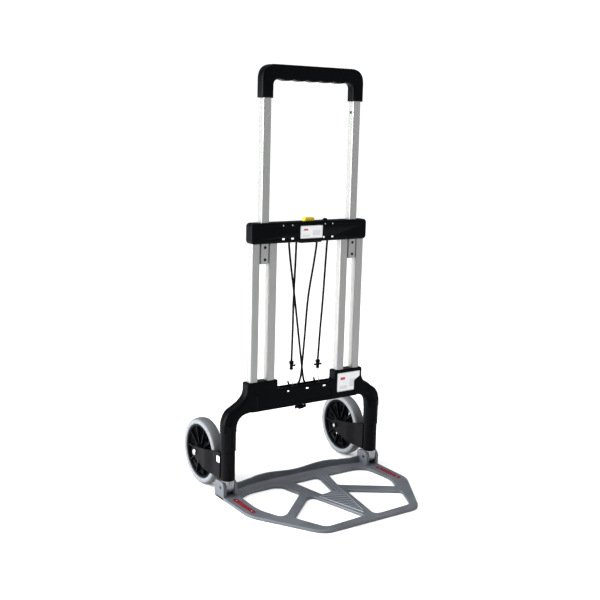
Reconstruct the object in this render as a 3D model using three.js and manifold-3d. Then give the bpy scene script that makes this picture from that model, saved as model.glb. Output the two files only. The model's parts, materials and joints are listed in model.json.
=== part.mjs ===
// A folding hand truck, standing open with its handle pulled out.
//
// Millimetres, +Z up. X runs across the truck, -Y is the side that carries the load and +Y the side
// with the wheels. The origin is on the floor, midway between the wheels, below the axis of the two
// posts, so the toe plate's hinge axis is the line y = 0 at PIN_Z.
//
// The frame is a moulded bracket with two posts, four aluminium rails and a crossbar. The handle
// slides between the rails, the toe plate turns up in front of the frame, and the two forks turn
// their wheels flat behind it.

import * as THREE from 'three';
import { mergeVertices } from 'three/addons/utils/BufferGeometryUtils.js';
import Module from 'manifold-3d';

// ---- driving dimensions -------------------------------------------------------------------------

// overall
const TOTAL_HEIGHT = 1100;       // floor to the top of the handle, pulled out
const GAP = 0.3;                 // between pieces that rest on each other
const RUN = 0.6;                 // between pieces that slide or turn

// posts, which carry the forks and the toe plate
const POST_X = 232;              // axis of each post, left and right of the middle
const POST_RADIUS = 13;
const SLEEVE_RADIUS = 19;        // fork sleeve round the post
const COLLAR_RADIUS = 20.7;      // bracket collar above the sleeve
const COLLAR_BOTTOM = 127;
const COLLAR_TOP = 195;
const POST_TOP = 188;

// toe plate
const PIN_Z = 30;                // height of the hinge axis
const PIN_RADIUS = 4;
const PLATE_THICKNESS = 8;
const PLATE_SIDE_X = 252;        // outer edge of the plate
const PLATE_SHOULDER_Y = -144;   // where the sides turn in
const PLATE_FRONT_Y = -317;
const PLATE_FRONT_X = 148;       // half the front edge
const PLATE_REAR_Y = 24;
const CHEEK_RADIUS = 17;         // round the pin
const CHEEK_REAR_Y = 30;
const CHEEK_INNER_THICKNESS = 9;
const CHEEK_OUTER_THICKNESS = 10;
const TAB_WIDTH = 22;            // foot between the cheeks
const CRADLE_Y = 33;             // front face of the low wall that passes under the folded wheels
const CRADLE_THICKNESS = 6;
const CRADLE_HEIGHT = 25;

// wheels and forks
const WHEEL_RADIUS = 89;
const WHEEL_WIDTH = 33;
const WHEEL_SETBACK = 39;        // from the post's axis to the tyre
const WHEEL_Y = WHEEL_RADIUS + WHEEL_SETBACK;
const RIM_RADIUS = 73;           // where the tyre sits on the rim
const HUB_WIDTH = 46;
const WHEEL_SIDES = 26;          // facets round a wheel
const AXLE_RADIUS = 5;
const ARM_THICKNESS = 4.5;
const ARM_TOP = 125;             // at the sleeve
const ARM_FLARE_START = 44;      // behind the post, where the arms open out round the hub
const ARM_FLARE_END = 76;
const ARM_TIP_RADIUS = 15;
const ARM_TIP_CUT = 16;          // how far the arm's edges sit from the axle at its tip

// rails and telescopic tubes
const TUBE_X = 137.5;            // middle of the gap between a side's two rails
const TUBE_WIDTH = 23;
const TUBE_DEPTH = 23;
const RAIL_GAP = 28;
const RAIL_WIDTH = 23.5;
const RAIL_DEPTH = 23;
const PROFILE_WALL = 1.8;
const RAIL_BOTTOM = 236;
const RAIL_TOP = 701;
const TUBE_BOTTOM = 607;
const HANDLE_TRAVEL = 306;

// bracket
const BRACKET_DEPTH = 30;
const TOWER_TOP = 301;
const TOWER_WALL = 9;            // outside the outer rail
const MEMBER_TOP = 275;
const MEMBER_BOTTOM = 221;
const ARM_PIPE_RADIUS = 20;
const PAD_SEAT = 12;             // how deep the pads under the handle's tubes sit in the towers

// crossbar
const BAR_HALF_LENGTH = 180;
const BAR_BOTTOM = 658;
const BAR_TOP = 711.5;
const BAR_DEPTH = 34;
const LIP_DROP = 2.5;            // the middle of the crossbar reaches this much lower
const COVER_HALF_WIDTH = 38;
const COVER_LOW = 6;             // from the bar's lower edge to the cover
const COVER_HIGH = 8;            // from the cover to the bar's upper edge
const LABEL_EDGE = 3;            // of the cover, showing round its label
const LATCH_Z = 684;
const LATCH_RADIUS = 3.5;
const LATCH_STROKE = 6;          // of the button and of both pins
const LATCH_HOLE_DEPTH = 5;      // of the holes in the tubes
const PEG_RADIUS = 1.5;          // on each pin, in the button's slanted slot
const PEG_X = 26;
const PEG_RISE = 4;              // above the pin's axis
const BUTTON_HALF_WIDTH = 15;
const BUTTON_DEPTH = 15;
const BUTTON_RISE = 9;           // above the crossbar

// handle
const LEG_WALL_INNER = 4;        // of the grip's legs, beside the tubes
const LEG_WALL_OUTER = 5.5;
const LEG_WALL_DEPTH = 4;        // in front of and behind the tubes
const LEG_BOTTOM = TOTAL_HEIGHT - 82;
const GRIP_UNDERSIDE = TOTAL_HEIGHT - 36;
const GRIP_LOBES = 5;
const GRIP_LOBE_DEPTH = 3;

// elastic cord
const CORD_RADIUS = 2.8;
const CORD_STEPS = 40;           // along each half

// ---- materials ----------------------------------------------------------------------------------

const paint = (color, roughness, metalness) =>
  new THREE.MeshStandardMaterial({ color, roughness, metalness });

const MATERIALS = {
  blackPlastic: () => paint(0x0c0c0f, 0.5, 0),
  aluminium: () => paint(0xc9c6c0, 0.35, 0.9),
  plateCasting: () => paint(0x666b73, 0.6, 0.3),
  footCasting: () => paint(0x7d8287, 0.5, 0.6),
  steel: () => paint(0x9a9da0, 0.3, 1),
  yellowPlastic: () => paint(0xe8c414, 0.45, 0),
  redPlastic: () => paint(0x8c0b1c, 0.4, 0),
  greyRubber: () => paint(0x8d9295, 0.8, 0),
  label: () => paint(0xe6e6e6, 0.6, 0),
  cord: () => paint(0x101012, 0.9, 0),
};

// ---- solids -------------------------------------------------------------------------------------

const wasm = await Module();
wasm.setup();

function toSolid(geometry) {
  const bare = geometry.clone();
  bare.deleteAttribute('normal');
  bare.deleteAttribute('uv');
  const merged = mergeVertices(bare, 1e-4);
  return new wasm.Manifold(new wasm.Mesh({
    numProp: 3,
    vertProperties: new Float32Array(merged.attributes.position.array),
    triVerts: new Uint32Array(merged.index.array),
  }));
}

function toGeometry(solid) {
  const mesh = solid.getMesh();
  const geometry = new THREE.BufferGeometry();
  geometry.setAttribute('position', new THREE.BufferAttribute(new Float32Array(mesh.vertProperties), 3));
  geometry.setIndex(new THREE.BufferAttribute(new Uint32Array(mesh.triVerts), 1));
  geometry.computeVertexNormals();
  return geometry;
}

const join = (...solids) => solids.reduce((sum, solid) => sum.add(solid));
const cut = (solid, ...tools) => tools.reduce((left, tool) => left.subtract(tool), solid);

function box(x0, x1, y0, y1, z0, z1) {
  const geometry = new THREE.BoxGeometry(x1 - x0, y1 - y0, z1 - z0);
  geometry.translate((x0 + x1) / 2, (y0 + y1) / 2, (z0 + z1) / 2);
  return toSolid(geometry);
}

function rod(axis, center, radius, length, sides = 24) {
  const geometry = new THREE.CylinderGeometry(radius, radius, length, sides);
  if (axis === 'x') geometry.rotateZ(-Math.PI / 2);
  if (axis === 'z') geometry.rotateX(Math.PI / 2);
  geometry.translate(...center);
  return toSolid(geometry);
}

// A closed outline through the corners, each rounded by its own radius (or by the common one).
function rounded(corners, radius = 0, PathType = THREE.Shape) {
  const outline = new PathType();
  const count = corners.length;
  corners.forEach(([x, y, ownRadius], index) => {
    const here = new THREE.Vector2(x, y);
    const before = new THREE.Vector2(...corners[(index + count - 1) % count]);
    const after = new THREE.Vector2(...corners[(index + 1) % count]);
    const reach = Math.min(
      ownRadius ?? radius,
      here.distanceTo(before) * 0.48,
      here.distanceTo(after) * 0.48,
    );
    const start = here.clone().add(before.sub(here).setLength(reach));
    const end = here.clone().add(after.sub(here).setLength(reach));
    if (index === 0) outline.moveTo(start.x, start.y);
    else outline.lineTo(start.x, start.y);
    if (reach > 0) outline.quadraticCurveTo(x, y, end.x, end.y);
  });
  outline.closePath();
  return outline;
}

function roundedBox(u0, u1, v0, v1, radius, PathType = THREE.Shape) {
  return rounded([[u0, v0], [u1, v0], [u1, v1], [u0, v1]], radius, PathType);
}

function extrude(shape, depth, bevel, curveSegments) {
  return new THREE.ExtrudeGeometry(shape, {
    depth: depth - 2 * bevel,
    bevelEnabled: bevel > 0,
    bevelSize: bevel,
    bevelThickness: bevel,
    bevelOffset: -bevel,
    bevelSegments: 1,
    curveSegments,
  }).translate(0, 0, bevel);
}

// The outline is drawn in (x, y), (x, z) or (y, z) and pushed along the third axis.
function pushZ(shape, z0, z1, bevel = 0, curveSegments = 4) {
  return toSolid(extrude(shape, z1 - z0, bevel, curveSegments).translate(0, 0, z0));
}

function pushY(shape, y0, y1, bevel = 0, curveSegments = 4) {
  return toSolid(extrude(shape, y1 - y0, bevel, curveSegments).rotateX(Math.PI / 2).translate(0, y1, 0));
}

function pushX(shape, x0, x1, bevel = 0, curveSegments = 4) {
  const turn = new THREE.Matrix4().makeBasis(
    new THREE.Vector3(0, 1, 0),
    new THREE.Vector3(0, 0, 1),
    new THREE.Vector3(1, 0, 0),
  );
  return toSolid(extrude(shape, x1 - x0, bevel, curveSegments).applyMatrix4(turn).translate(x0, 0, 0));
}

// A round bar along a curve, with flat ends.
function pipe(points, radius, sides, steps, tension = 0.5) {
  const corners = points.map((p) => new THREE.Vector3(...p));
  const path = new THREE.CatmullRomCurve3(corners, false, 'catmullrom', tension);
  const section = new THREE.Shape();
  for (let side = 0; side < sides; side += 1) {
    const angle = (side / sides) * 2 * Math.PI;
    const corner = [radius * Math.cos(angle), radius * Math.sin(angle)];
    if (side === 0) section.moveTo(...corner);
    else section.lineTo(...corner);
  }
  section.closePath();
  return new THREE.ExtrudeGeometry(section, { steps, extrudePath: path, bevelEnabled: false });
}

// A turned solid about an axis along X, from a closed profile of (radius, x) points.
function turned(profile, segments) {
  const points = profile.map(([radius, x]) => new THREE.Vector2(radius, x));
  const geometry = new THREE.LatheGeometry([...points, points[0].clone()], segments);
  geometry.rotateZ(-Math.PI / 2);
  const solid = toSolid(geometry);
  return solid.volume() < 0 ? toSolid(flipped(geometry)) : solid;
}

function flipped(geometry) {
  const copy = geometry.clone();
  const index = copy.index.array;
  for (let i = 0; i < index.length; i += 3) {
    [index[i], index[i + 1]] = [index[i + 1], index[i]];
  }
  return copy;
}

const truck = new THREE.Group();

function add(name, shape, material, group = truck) {
  const geometry = shape.isBufferGeometry ? shape : toGeometry(shape);
  const mesh = new THREE.Mesh(geometry, MATERIALS[material]());
  mesh.name = name;
  group.add(mesh);
  return mesh;
}

const SIDES = [{ name: 'left', sign: -1 }, { name: 'right', sign: 1 }];

// Mirrors a span of x from the right side to the left one.
function spanX(sign, near, far) {
  return sign > 0 ? [near, far] : [-far, -near];
}

// ---- rails --------------------------------------------------------------------------------------

const railInnerX = TUBE_X - RAIL_GAP / 2 - RAIL_WIDTH / 2;
const railOuterX = TUBE_X + RAIL_GAP / 2 + RAIL_WIDTH / 2;
const towerInnerX = railInnerX - RAIL_WIDTH / 2 - TOWER_WALL + 1;
const towerOuterX = railOuterX + RAIL_WIDTH / 2 + TOWER_WALL;

function hollowProfile(x, width, depth, z0, z1, radius) {
  const outline = roundedBox(x - width / 2, x + width / 2, -depth / 2, depth / 2, radius);
  const inner = [width / 2 - PROFILE_WALL, depth / 2 - PROFILE_WALL];
  outline.holes.push(roundedBox(x - inner[0], x + inner[0], -inner[1], inner[1], radius / 2, THREE.Path));
  return pushZ(outline, z0, z1, 0, 2);
}

function makeRail(x, latched) {
  const rail = hollowProfile(x, RAIL_WIDTH, RAIL_DEPTH, RAIL_BOTTOM, RAIL_TOP, 5);
  if (!latched) return rail;
  return cut(rail, rod('x', [x, 0, LATCH_Z], LATCH_RADIUS + RUN, RAIL_WIDTH + 4, 12));
}

for (const { name, sign } of SIDES) {
  add(`rail_${name}_outer`, makeRail(sign * railOuterX, false), 'aluminium');
  add(`rail_${name}_inner`, makeRail(sign * railInnerX, true), 'aluminium');
}

// ---- lower bracket ------------------------------------------------------------------------------

const cordHoles = [-22, 4];      // where the elastic cord goes down through the bracket
const pegs = [[-46, -52], [36, 31]];
const drainHoles = [-60, 0, 56];

function bracketOutline() {
  const bend = 190;              // where the towers' sides run out into the arms
  return rounded([
    [-bend, MEMBER_BOTTOM, 0],
    [bend, MEMBER_BOTTOM, 0],
    [bend + 12, MEMBER_TOP - 24, 12],
    [towerOuterX, MEMBER_TOP, 18],
    [towerOuterX, TOWER_TOP, 5],
    [towerInnerX, TOWER_TOP, 5],
    [towerInnerX, MEMBER_TOP, 4],
    [-towerInnerX, MEMBER_TOP, 4],
    [-towerInnerX, TOWER_TOP, 5],
    [-towerOuterX, TOWER_TOP, 5],
    [-towerOuterX, MEMBER_TOP, 18],
    [-bend - 12, MEMBER_TOP - 24, 12],
  ]);
}

function makeBracket() {
  const half = BRACKET_DEPTH / 2;
  const middleZ = MEMBER_BOTTOM + ARM_PIPE_RADIUS;
  let bracket = pushY(bracketOutline(), -half, half, 2, 2);
  for (const { sign } of SIDES) {
    const bend = [
      [sign * 179, 0, middleZ],
      [sign * 190, 0, middleZ - 1],
      [sign * 207, 0, middleZ - 8],
      [sign * 222, 0, middleZ - 22],
      [sign * 230, 0, middleZ - 38],
      [sign * POST_X, 0, middleZ - 54],
      [sign * POST_X, 0, COLLAR_BOTTOM + 8],
    ];
    const collarHeight = COLLAR_TOP - COLLAR_BOTTOM;
    const collarMiddle = (COLLAR_TOP + COLLAR_BOTTOM) / 2;
    bracket = join(
      bracket,
      toSolid(pipe(bend, ARM_PIPE_RADIUS, 16, 9).scale(1, 0.8, 1)),
      rod('z', [sign * POST_X, 0, collarMiddle], COLLAR_RADIUS, collarHeight, 24),
    );
  }
  for (const { sign } of SIDES) {
    const boreHeight = POST_TOP + 1 - COLLAR_BOTTOM + 10;
    const boreMiddle = [sign * POST_X, 0, POST_TOP + 1 - boreHeight / 2];
    bracket = cut(bracket, rod('z', boreMiddle, POST_RADIUS + GAP, boreHeight, 20));
    for (const railX of [railInnerX, railOuterX]) {
      const halfWidth = RAIL_WIDTH / 2 + GAP;
      const halfDepth = RAIL_DEPTH / 2 + GAP;
      const x = sign * railX;
      const socket = roundedBox(x - halfWidth, x + halfWidth, -halfDepth, halfDepth, 4);
      bracket = cut(bracket, pushZ(socket, RAIL_BOTTOM - GAP, TOWER_TOP + 5, 0, 2));
    }
    const [pad0, pad1] = spanX(sign, TUBE_X - TUBE_WIDTH / 2 - 1, TUBE_X + TUBE_WIDTH / 2 + 1);
    bracket = cut(bracket, box(pad0, pad1, -8, 8, TOWER_TOP - PAD_SEAT, TOWER_TOP + 5));
  }
  for (const x of cordHoles) {
    bracket = cut(bracket, rod('z', [x, 0, MEMBER_TOP - 25], CORD_RADIUS + 1, 80, 10));
  }
  for (const x of drainHoles) {
    bracket = cut(bracket, box(x - 5, x + 5, -half - 2, half + 2, MEMBER_TOP - 13, MEMBER_TOP - 8));
  }
  const trough = roundedBox(-towerInnerX + 14, towerInnerX - 14, -7, 7, 5);
  bracket = cut(bracket, pushZ(trough, MEMBER_TOP - 13, MEMBER_TOP + 5, 0, 3));
  for (const [footX, tipX] of pegs) {
    const route = [[footX + 2, 0, MEMBER_TOP - 18], [footX, 0, MEMBER_TOP - 4], [tipX, 0, MEMBER_TOP + 12]];
    bracket = join(bracket, toSolid(pipe(route, 2.6, 10, 4)));
  }
  return bracket;
}

add('lower_bracket', makeBracket(), 'blackPlastic');

for (const { name, sign } of SIDES) {
  const x = sign * TUBE_X;
  const outline = roundedBox(x - TUBE_WIDTH / 2, x + TUBE_WIDTH / 2, -7.4, 7.4, 3);
  const pad = pushZ(outline, TOWER_TOP - PAD_SEAT + GAP, TUBE_BOTTOM - HANDLE_TRAVEL - 1, 1, 3);
  add(`rail_bumper_${name}`, pad, 'blackPlastic');
}

{
  const half = [38, 26];
  const middle = [TUBE_X, (TOWER_TOP + MEMBER_TOP) / 2 - 22];
  const [u, v] = middle;
  const plate = roundedBox(u - half[0], u + half[0], v - half[1], v + half[1], 2);
  const front = -BRACKET_DEPTH / 2 - GAP;
  add('tower_label', pushY(plate, front - 0.6, front, 0, 2), 'label');
}

// ---- posts with their hinge feet ----------------------------------------------------------------

const cheekTop = PIN_Z + CHEEK_RADIUS;
const washerBottom = cheekTop + GAP;
const sleeveBottom = washerBottom + 1.2 + GAP;
const sleeveTop = COLLAR_BOTTOM - RUN;

for (const { name, sign } of SIDES) {
  const x = sign * POST_X;
  const tabRadius = CHEEK_RADIUS - 1.5;
  const tab = new THREE.Shape();
  tab.absarc(0, PIN_Z, tabRadius, Math.PI, 2 * Math.PI, false);
  tab.lineTo(tabRadius, cheekTop);
  tab.lineTo(-tabRadius, cheekTop);
  const postMiddle = (washerBottom + POST_TOP) / 2;
  const foot = cut(
    join(
      pushX(tab, x - TAB_WIDTH / 2, x + TAB_WIDTH / 2, 1, 5),
      rod('z', [x, 0, postMiddle], POST_RADIUS, POST_TOP - washerBottom, 20),
      rod('z', [x, 0, cheekTop], TAB_WIDTH / 2 - 1, 8, 20),
    ),
    rod('x', [x, 0, PIN_Z], PIN_RADIUS + GAP, TAB_WIDTH + 4, 16),
  );
  add(`post_${name}`, foot, 'footCasting');

  const washer = cut(
    rod('z', [x, 0, washerBottom + 0.6], SLEEVE_RADIUS - 1, 1.2, 20),
    rod('z', [x, 0, washerBottom + 0.6], POST_RADIUS + GAP, 4, 20),
  );
  add(`thrust_washer_${name}`, washer, 'steel');
}

// ---- toe plate ----------------------------------------------------------------------------------

const cheekInner = POST_X - TAB_WIDTH / 2 - RUN;
const cheekOuter = POST_X + TAB_WIDTH / 2 + RUN;

// The openings, each a ring of corners with the rounding of each corner.
const plateOpenings = [
  // left, behind the diagonal beam
  [[-210, -32, 10], [-174, -13, 24], [-96, -11, 18], [-77, -24, 8], [-64, -88, 6], [-170, -185, 14],
    [-188, -187, 12], [-214, -124, 30]],
  // middle
  [[-37, -13, 6], [40, -12, 5], [45, -24, 8], [20, -117, 6], [-18, -124, 6]],
  // right, behind its beam
  [[80, -12, 5], [176, -13, 20], [204, -34, 24], [212, -122, 22], [188, -178, 8], [57, -90, 6]],
  // right front
  [[54, -130, 4], [178, -212, 10], [142, -289, 16], [22, -294, 20]],
  // left front
  [[-163, -212, 8], [-64, -123, 12], [-45, -122, 10], [-5, -287, 8], [-126, -294, 16]],
];

function plateOutline() {
  const outline = rounded([
    [PLATE_SIDE_X, PLATE_REAR_Y, 4],
    [-PLATE_SIDE_X, PLATE_REAR_Y, 4],
    [-PLATE_SIDE_X, PLATE_SHOULDER_Y, 24],
    [-PLATE_FRONT_X, PLATE_FRONT_Y, 26],
    [PLATE_FRONT_X, PLATE_FRONT_Y, 26],
    [PLATE_SIDE_X, PLATE_SHOULDER_Y, 24],
  ]);
  for (const opening of plateOpenings) {
    outline.holes.push(rounded(opening, 0, THREE.Path));
  }
  return outline;
}

// The wall's front face in plan: it bows back in the middle to pass under the folded wheels.
const cradlePlan = [
  [cheekInner - 4, 17],
  [186, 21],
  [150, CRADLE_Y - 5],
  [118, CRADLE_Y],
  [60, CRADLE_Y + 1],
  [0, CRADLE_Y + 1],
];

function cradleShape(frontShift, rearShift) {
  const right = cradlePlan.map(([x, y]) => new THREE.Vector2(x, y));
  const left = cradlePlan.slice(0, -1).reverse().map(([x, y]) => new THREE.Vector2(-x, y));
  const curve = new THREE.SplineCurve([...right, ...left]);
  const along = curve.getPoints(18);
  const shape = new THREE.Shape();
  along.forEach((p, i) => (i ? shape.lineTo(p.x, p.y + frontShift) : shape.moveTo(p.x, p.y + frontShift)));
  along.reverse().forEach((p) => shape.lineTo(p.x, p.y + rearShift));
  shape.closePath();
  return shape;
}

// The wall's top edge rises towards the hinges and above each wheel's place.
function cradleTop() {
  const shape = new THREE.Shape();
  const steps = 24;
  const reach = cheekInner + 6;
  shape.moveTo(-reach, -5);
  for (let i = 0; i <= steps; i += 1) {
    const x = -reach + (2 * reach * i) / steps;
    const hump = 3 * Math.cos((x / 92) * Math.PI) * -1;
    const lift = 6 * (Math.abs(x) / reach) ** 4;
    shape.lineTo(x, CRADLE_HEIGHT + hump + lift);
  }
  shape.lineTo(reach, -5);
  shape.closePath();
  return shape;
}

function makeToePlate() {
  let plate = pushZ(plateOutline(), 0, PLATE_THICKNESS, 1.5, 2);
  const floor = pushZ(cradleShape(-20, CRADLE_THICKNESS), 0, PLATE_THICKNESS - 1, 0, 1);
  const upright = pushZ(cradleShape(0, CRADLE_THICKNESS), 0.5, 60, 0, 1);
  const wall = upright.intersect(pushY(cradleTop(), -10, 60, 0, 1));
  plate = join(plate, floor, wall);

  // Slots for the feet between the cheeks, and cheeks.
  for (const { sign } of SIDES) {
    const [x0, x1] = spanX(sign, cheekInner, cheekOuter);
    const [i0, i1] = spanX(sign, cheekInner - CHEEK_INNER_THICKNESS, cheekInner);
    const [o0, o1] = spanX(sign, cheekOuter, cheekOuter + CHEEK_OUTER_THICKNESS);
    const cheek = new THREE.Shape();
    cheek.moveTo(-CHEEK_RADIUS, 2);
    cheek.lineTo(-CHEEK_RADIUS, PIN_Z);
    cheek.absarc(0, PIN_Z, CHEEK_RADIUS, Math.PI, Math.PI / 2, true);
    cheek.lineTo(CHEEK_REAR_Y - 12, cheekTop - 1);
    cheek.quadraticCurveTo(CHEEK_REAR_Y, cheekTop - 2, CHEEK_REAR_Y, cheekTop - 13);
    cheek.lineTo(CHEEK_REAR_Y, 0.4);
    cheek.lineTo(-CHEEK_RADIUS, 0.4);
    const clearance = rod('x', [(x0 + x1) / 2, 0, PIN_Z], CHEEK_RADIUS + 4, x1 - x0, 24);
    plate = join(plate, pushX(cheek, i0, i1, 1, 5), pushX(cheek, o0, o1, 1, 5));
    plate = cut(
      plate,
      clearance,
      rod('x', [(i0 + i1) / 2, 0, PIN_Z], PIN_RADIUS + GAP, 60, 16),
      rod('x', [(o0 + o1) / 2, 0, PIN_Z], PIN_RADIUS + GAP, 60, 16),
    );
  }

  for (const { sign } of SIDES) {
    const x = sign * stripX;
    const recess = roundedBox(x - 7.3, x + 7.3, stripY[0] - 0.3, stripY[1] + 0.3, 7);
    plate = cut(plate, pushZ(recess, PLATE_THICKNESS - 3, PLATE_THICKNESS + 3, 0, 3));
    for (const y of screwY) {
      plate = cut(plate, rod('z', [x, y, PLATE_THICKNESS / 2], 1.8, PLATE_THICKNESS + 4, 10));
    }
  }
  return plate;
}

const stripX = 233;
const stripY = [-138, -36];
const screwY = [-124, -50];

add('toe_plate', makeToePlate(), 'plateCasting');

for (const { name, sign } of SIDES) {
  const x = sign * stripX;
  const outline = roundedBox(x - 7, x + 7, stripY[0], stripY[1], 7);
  let strip = pushZ(outline, PLATE_THICKNESS - 3 + GAP, PLATE_THICKNESS + 0.3, 0.5, 3);
  for (const y of screwY) {
    strip = cut(
      strip,
      rod('z', [x, y, PLATE_THICKNESS], 1.8, 12, 10),
      rod('z', [x, y, PLATE_THICKNESS], 3.3, 2, 12),
    );
  }
  add(`red_strip_${name}`, strip, 'redPlastic');
  screwY.forEach((y, index) => {
    const screw = join(
      rod('z', [x, y, PLATE_THICKNESS - 0.45 + 0.1], 3, 0.8, 12),
      rod('z', [x, y, PLATE_THICKNESS / 2 + 0.6], 1.4, PLATE_THICKNESS - 1.6, 8),
    );
    add(`strip_screw_${name}_${index ? 'rear' : 'front'}`, screw, 'steel');
  });

  const pinEnds = [cheekInner - CHEEK_INNER_THICKNESS + 0.5, cheekOuter + CHEEK_OUTER_THICKNESS - 0.5];
  const [p0, p1] = spanX(sign, ...pinEnds);
  add(`hinge_pin_${name}`, rod('x', [(p0 + p1) / 2, 0, PIN_Z], PIN_RADIUS, p1 - p0, 16), 'steel');
}

// ---- forks and wheels ---------------------------------------------------------------------------

const armInner = HUB_WIDTH / 2 + RUN;
const armOuter = armInner + ARM_THICKNESS;

function armOutline() {
  const shape = new THREE.Shape();
  shape.moveTo(-8, sleeveBottom + 1);
  shape.lineTo(52, sleeveBottom + 3);
  shape.quadraticCurveTo(90, sleeveBottom + 7, WHEEL_Y + 4, WHEEL_RADIUS - ARM_TIP_CUT);
  shape.absarc(WHEEL_Y, WHEEL_RADIUS, ARM_TIP_RADIUS, -Math.PI / 3, Math.PI * 0.45, false);
  shape.lineTo(30, ARM_TOP);
  shape.lineTo(-8, ARM_TOP);
  shape.closePath();
  return shape;
}

function makeFork(x) {
  const neck = PIN_Z - PLATE_THICKNESS - RUN;  // the arms stay behind the folded toe plate
  const flare = new THREE.Shape();             // plan of one arm, from the sleeve out to the wheel
  flare.moveTo(SLEEVE_RADIUS - 6, 0);
  flare.lineTo(SLEEVE_RADIUS, 0);
  flare.quadraticCurveTo(SLEEVE_RADIUS + 0.5, 16, neck, ARM_FLARE_START);
  flare.quadraticCurveTo(armOuter, ARM_FLARE_START + 14, armOuter, ARM_FLARE_END);
  flare.lineTo(armOuter, WHEEL_Y + 30);
  flare.lineTo(armInner, WHEEL_Y + 30);
  flare.lineTo(armInner, ARM_FLARE_END + 2);
  flare.quadraticCurveTo(armInner - 1, ARM_FLARE_START + 14, neck - ARM_THICKNESS, ARM_FLARE_START + 3);
  flare.lineTo(SLEEVE_RADIUS - 6, 16);
  flare.closePath();
  const otherSide = flare.getPoints(4).map((p) => new THREE.Vector2(-p.x, p.y));
  const mirrored = new THREE.Shape(otherSide.reverse());
  const side = pushX(armOutline(), -50, 50, 0, 4);
  const arms = join(pushZ(flare, 20, 150, 0, 4), pushZ(mirrored, 20, 150, 0, 4)).intersect(side);
  const sleeveMiddle = (sleeveBottom + sleeveTop) / 2;
  const sleeve = rod('z', [0, 0, sleeveMiddle], SLEEVE_RADIUS, sleeveTop - sleeveBottom, 24);
  const web = box(-SLEEVE_RADIUS + 4, SLEEVE_RADIUS - 4, 8, 26, sleeveBottom + 4, ARM_TOP - 4);
  const fork = cut(
    join(sleeve, arms, web),
    rod('z', [0, 0, sleeveMiddle], POST_RADIUS + RUN, 200, 20),
    rod('x', [0, WHEEL_Y, WHEEL_RADIUS], AXLE_RADIUS + GAP, 200, 16),
  );
  return fork.translate([x, 0, 0]);
}

const tyreProfile = [
  [RIM_RADIUS, -WHEEL_WIDTH / 2 + 3],
  [RIM_RADIUS + 2, -WHEEL_WIDTH / 2],
  [WHEEL_RADIUS - 7, -WHEEL_WIDTH / 2],
  [WHEEL_RADIUS - 2.5, -WHEEL_WIDTH / 2 + 2.5],
  [WHEEL_RADIUS, -6],
  [WHEEL_RADIUS, 6],
  [WHEEL_RADIUS - 2.5, WHEEL_WIDTH / 2 - 2.5],
  [WHEEL_RADIUS - 7, WHEEL_WIDTH / 2],
  [RIM_RADIUS + 2, WHEEL_WIDTH / 2],
  [RIM_RADIUS, WHEEL_WIDTH / 2 - 3],
];

const BUSH_RADIUS = 9;
const BUSH_LENGTH = 14;
const SLOTS = 10;                // through the hub's web
const SLOT_INNER = 36;
const SLOT_MARGIN = 15;          // from a slot to the rim's radius
const SLOT_WIDTH = 11;

function hubProfile() {
  const rimHalf = WHEEL_WIDTH / 2 - 3.6;
  const outer = RIM_RADIUS - GAP;
  const half = HUB_WIDTH / 2;
  return [
    [BUSH_RADIUS + GAP, -half + 1],
    [18, -half + 1],
    [19, -9],
    [RIM_RADIUS - 8, -5],
    [RIM_RADIUS - 5, -rimHalf],
    [outer, -rimHalf],
    [outer, rimHalf],
    [RIM_RADIUS - 5, rimHalf],
    [RIM_RADIUS - 8, 5],
    [19, 9],
    [18, half - 1],
    [BUSH_RADIUS + GAP, half - 1],
  ];
}

function makeHub() {
  let hub = turned(hubProfile(), WHEEL_SIDES);
  const slot = roundedBox(SLOT_INNER, RIM_RADIUS - SLOT_MARGIN, -SLOT_WIDTH / 2, SLOT_WIDTH / 2, SLOT_WIDTH / 2);
  const cutter = pushX(slot, -HUB_WIDTH, HUB_WIDTH, 0, 2);
  for (let i = 0; i < SLOTS; i += 1) {
    hub = cut(hub, cutter.rotate([((i + 0.5) / SLOTS) * 360, 0, 0]));
  }
  return hub;
}

const tyre = turned(tyreProfile, WHEEL_SIDES);
const hub = makeHub();

for (const { name, sign } of SIDES) {
  const x = sign * POST_X;
  const place = [x, WHEEL_Y, WHEEL_RADIUS];
  add(`fork_${name}`, makeFork(x), 'blackPlastic');
  add(`tyre_${name}`, tyre.translate(place), 'greyRubber');
  add(`hub_${name}`, hub.translate(place), 'blackPlastic');
  for (const [where, side] of [['inner', -sign], ['outer', sign]]) {
    const middle = x + side * (HUB_WIDTH / 2 - BUSH_LENGTH / 2);
    const bush = cut(
      rod('x', [middle, WHEEL_Y, WHEEL_RADIUS], BUSH_RADIUS, BUSH_LENGTH, 20),
      rod('x', [middle, WHEEL_Y, WHEEL_RADIUS], AXLE_RADIUS + GAP, BUSH_LENGTH + 4, 16),
    );
    add(`bush_${name}_${where}`, bush, 'steel');
  }
  const axle = join(
    rod('x', [x, WHEEL_Y, WHEEL_RADIUS], AXLE_RADIUS, 2 * armOuter + 10, 16),
    rod('x', [x + sign * (armOuter + GAP + 2), WHEEL_Y, WHEEL_RADIUS], 8, 4, 20),
  );
  add(`axle_bolt_${name}`, axle, 'steel');
  const nutX = x - sign * (armOuter + GAP + 2.5);
  const nut = cut(
    rod('x', [nutX, WHEEL_Y, WHEEL_RADIUS], 7.5, 5, 6),
    rod('x', [nutX, WHEEL_Y, WHEEL_RADIUS], AXLE_RADIUS + GAP, 10, 16),
  );
  add(`axle_nut_${name}`, nut, 'steel');
}

// ---- crossbar with its latch --------------------------------------------------------------------

const springWall = [43, 46];              // stands between the button's pocket and each spring's
const U_TURNS = [[-58, -36], [28, 62]];   // where the elastic cord enters the crossbar
const PEEP_HOLES = [-77, -48, 48, 77];

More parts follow.
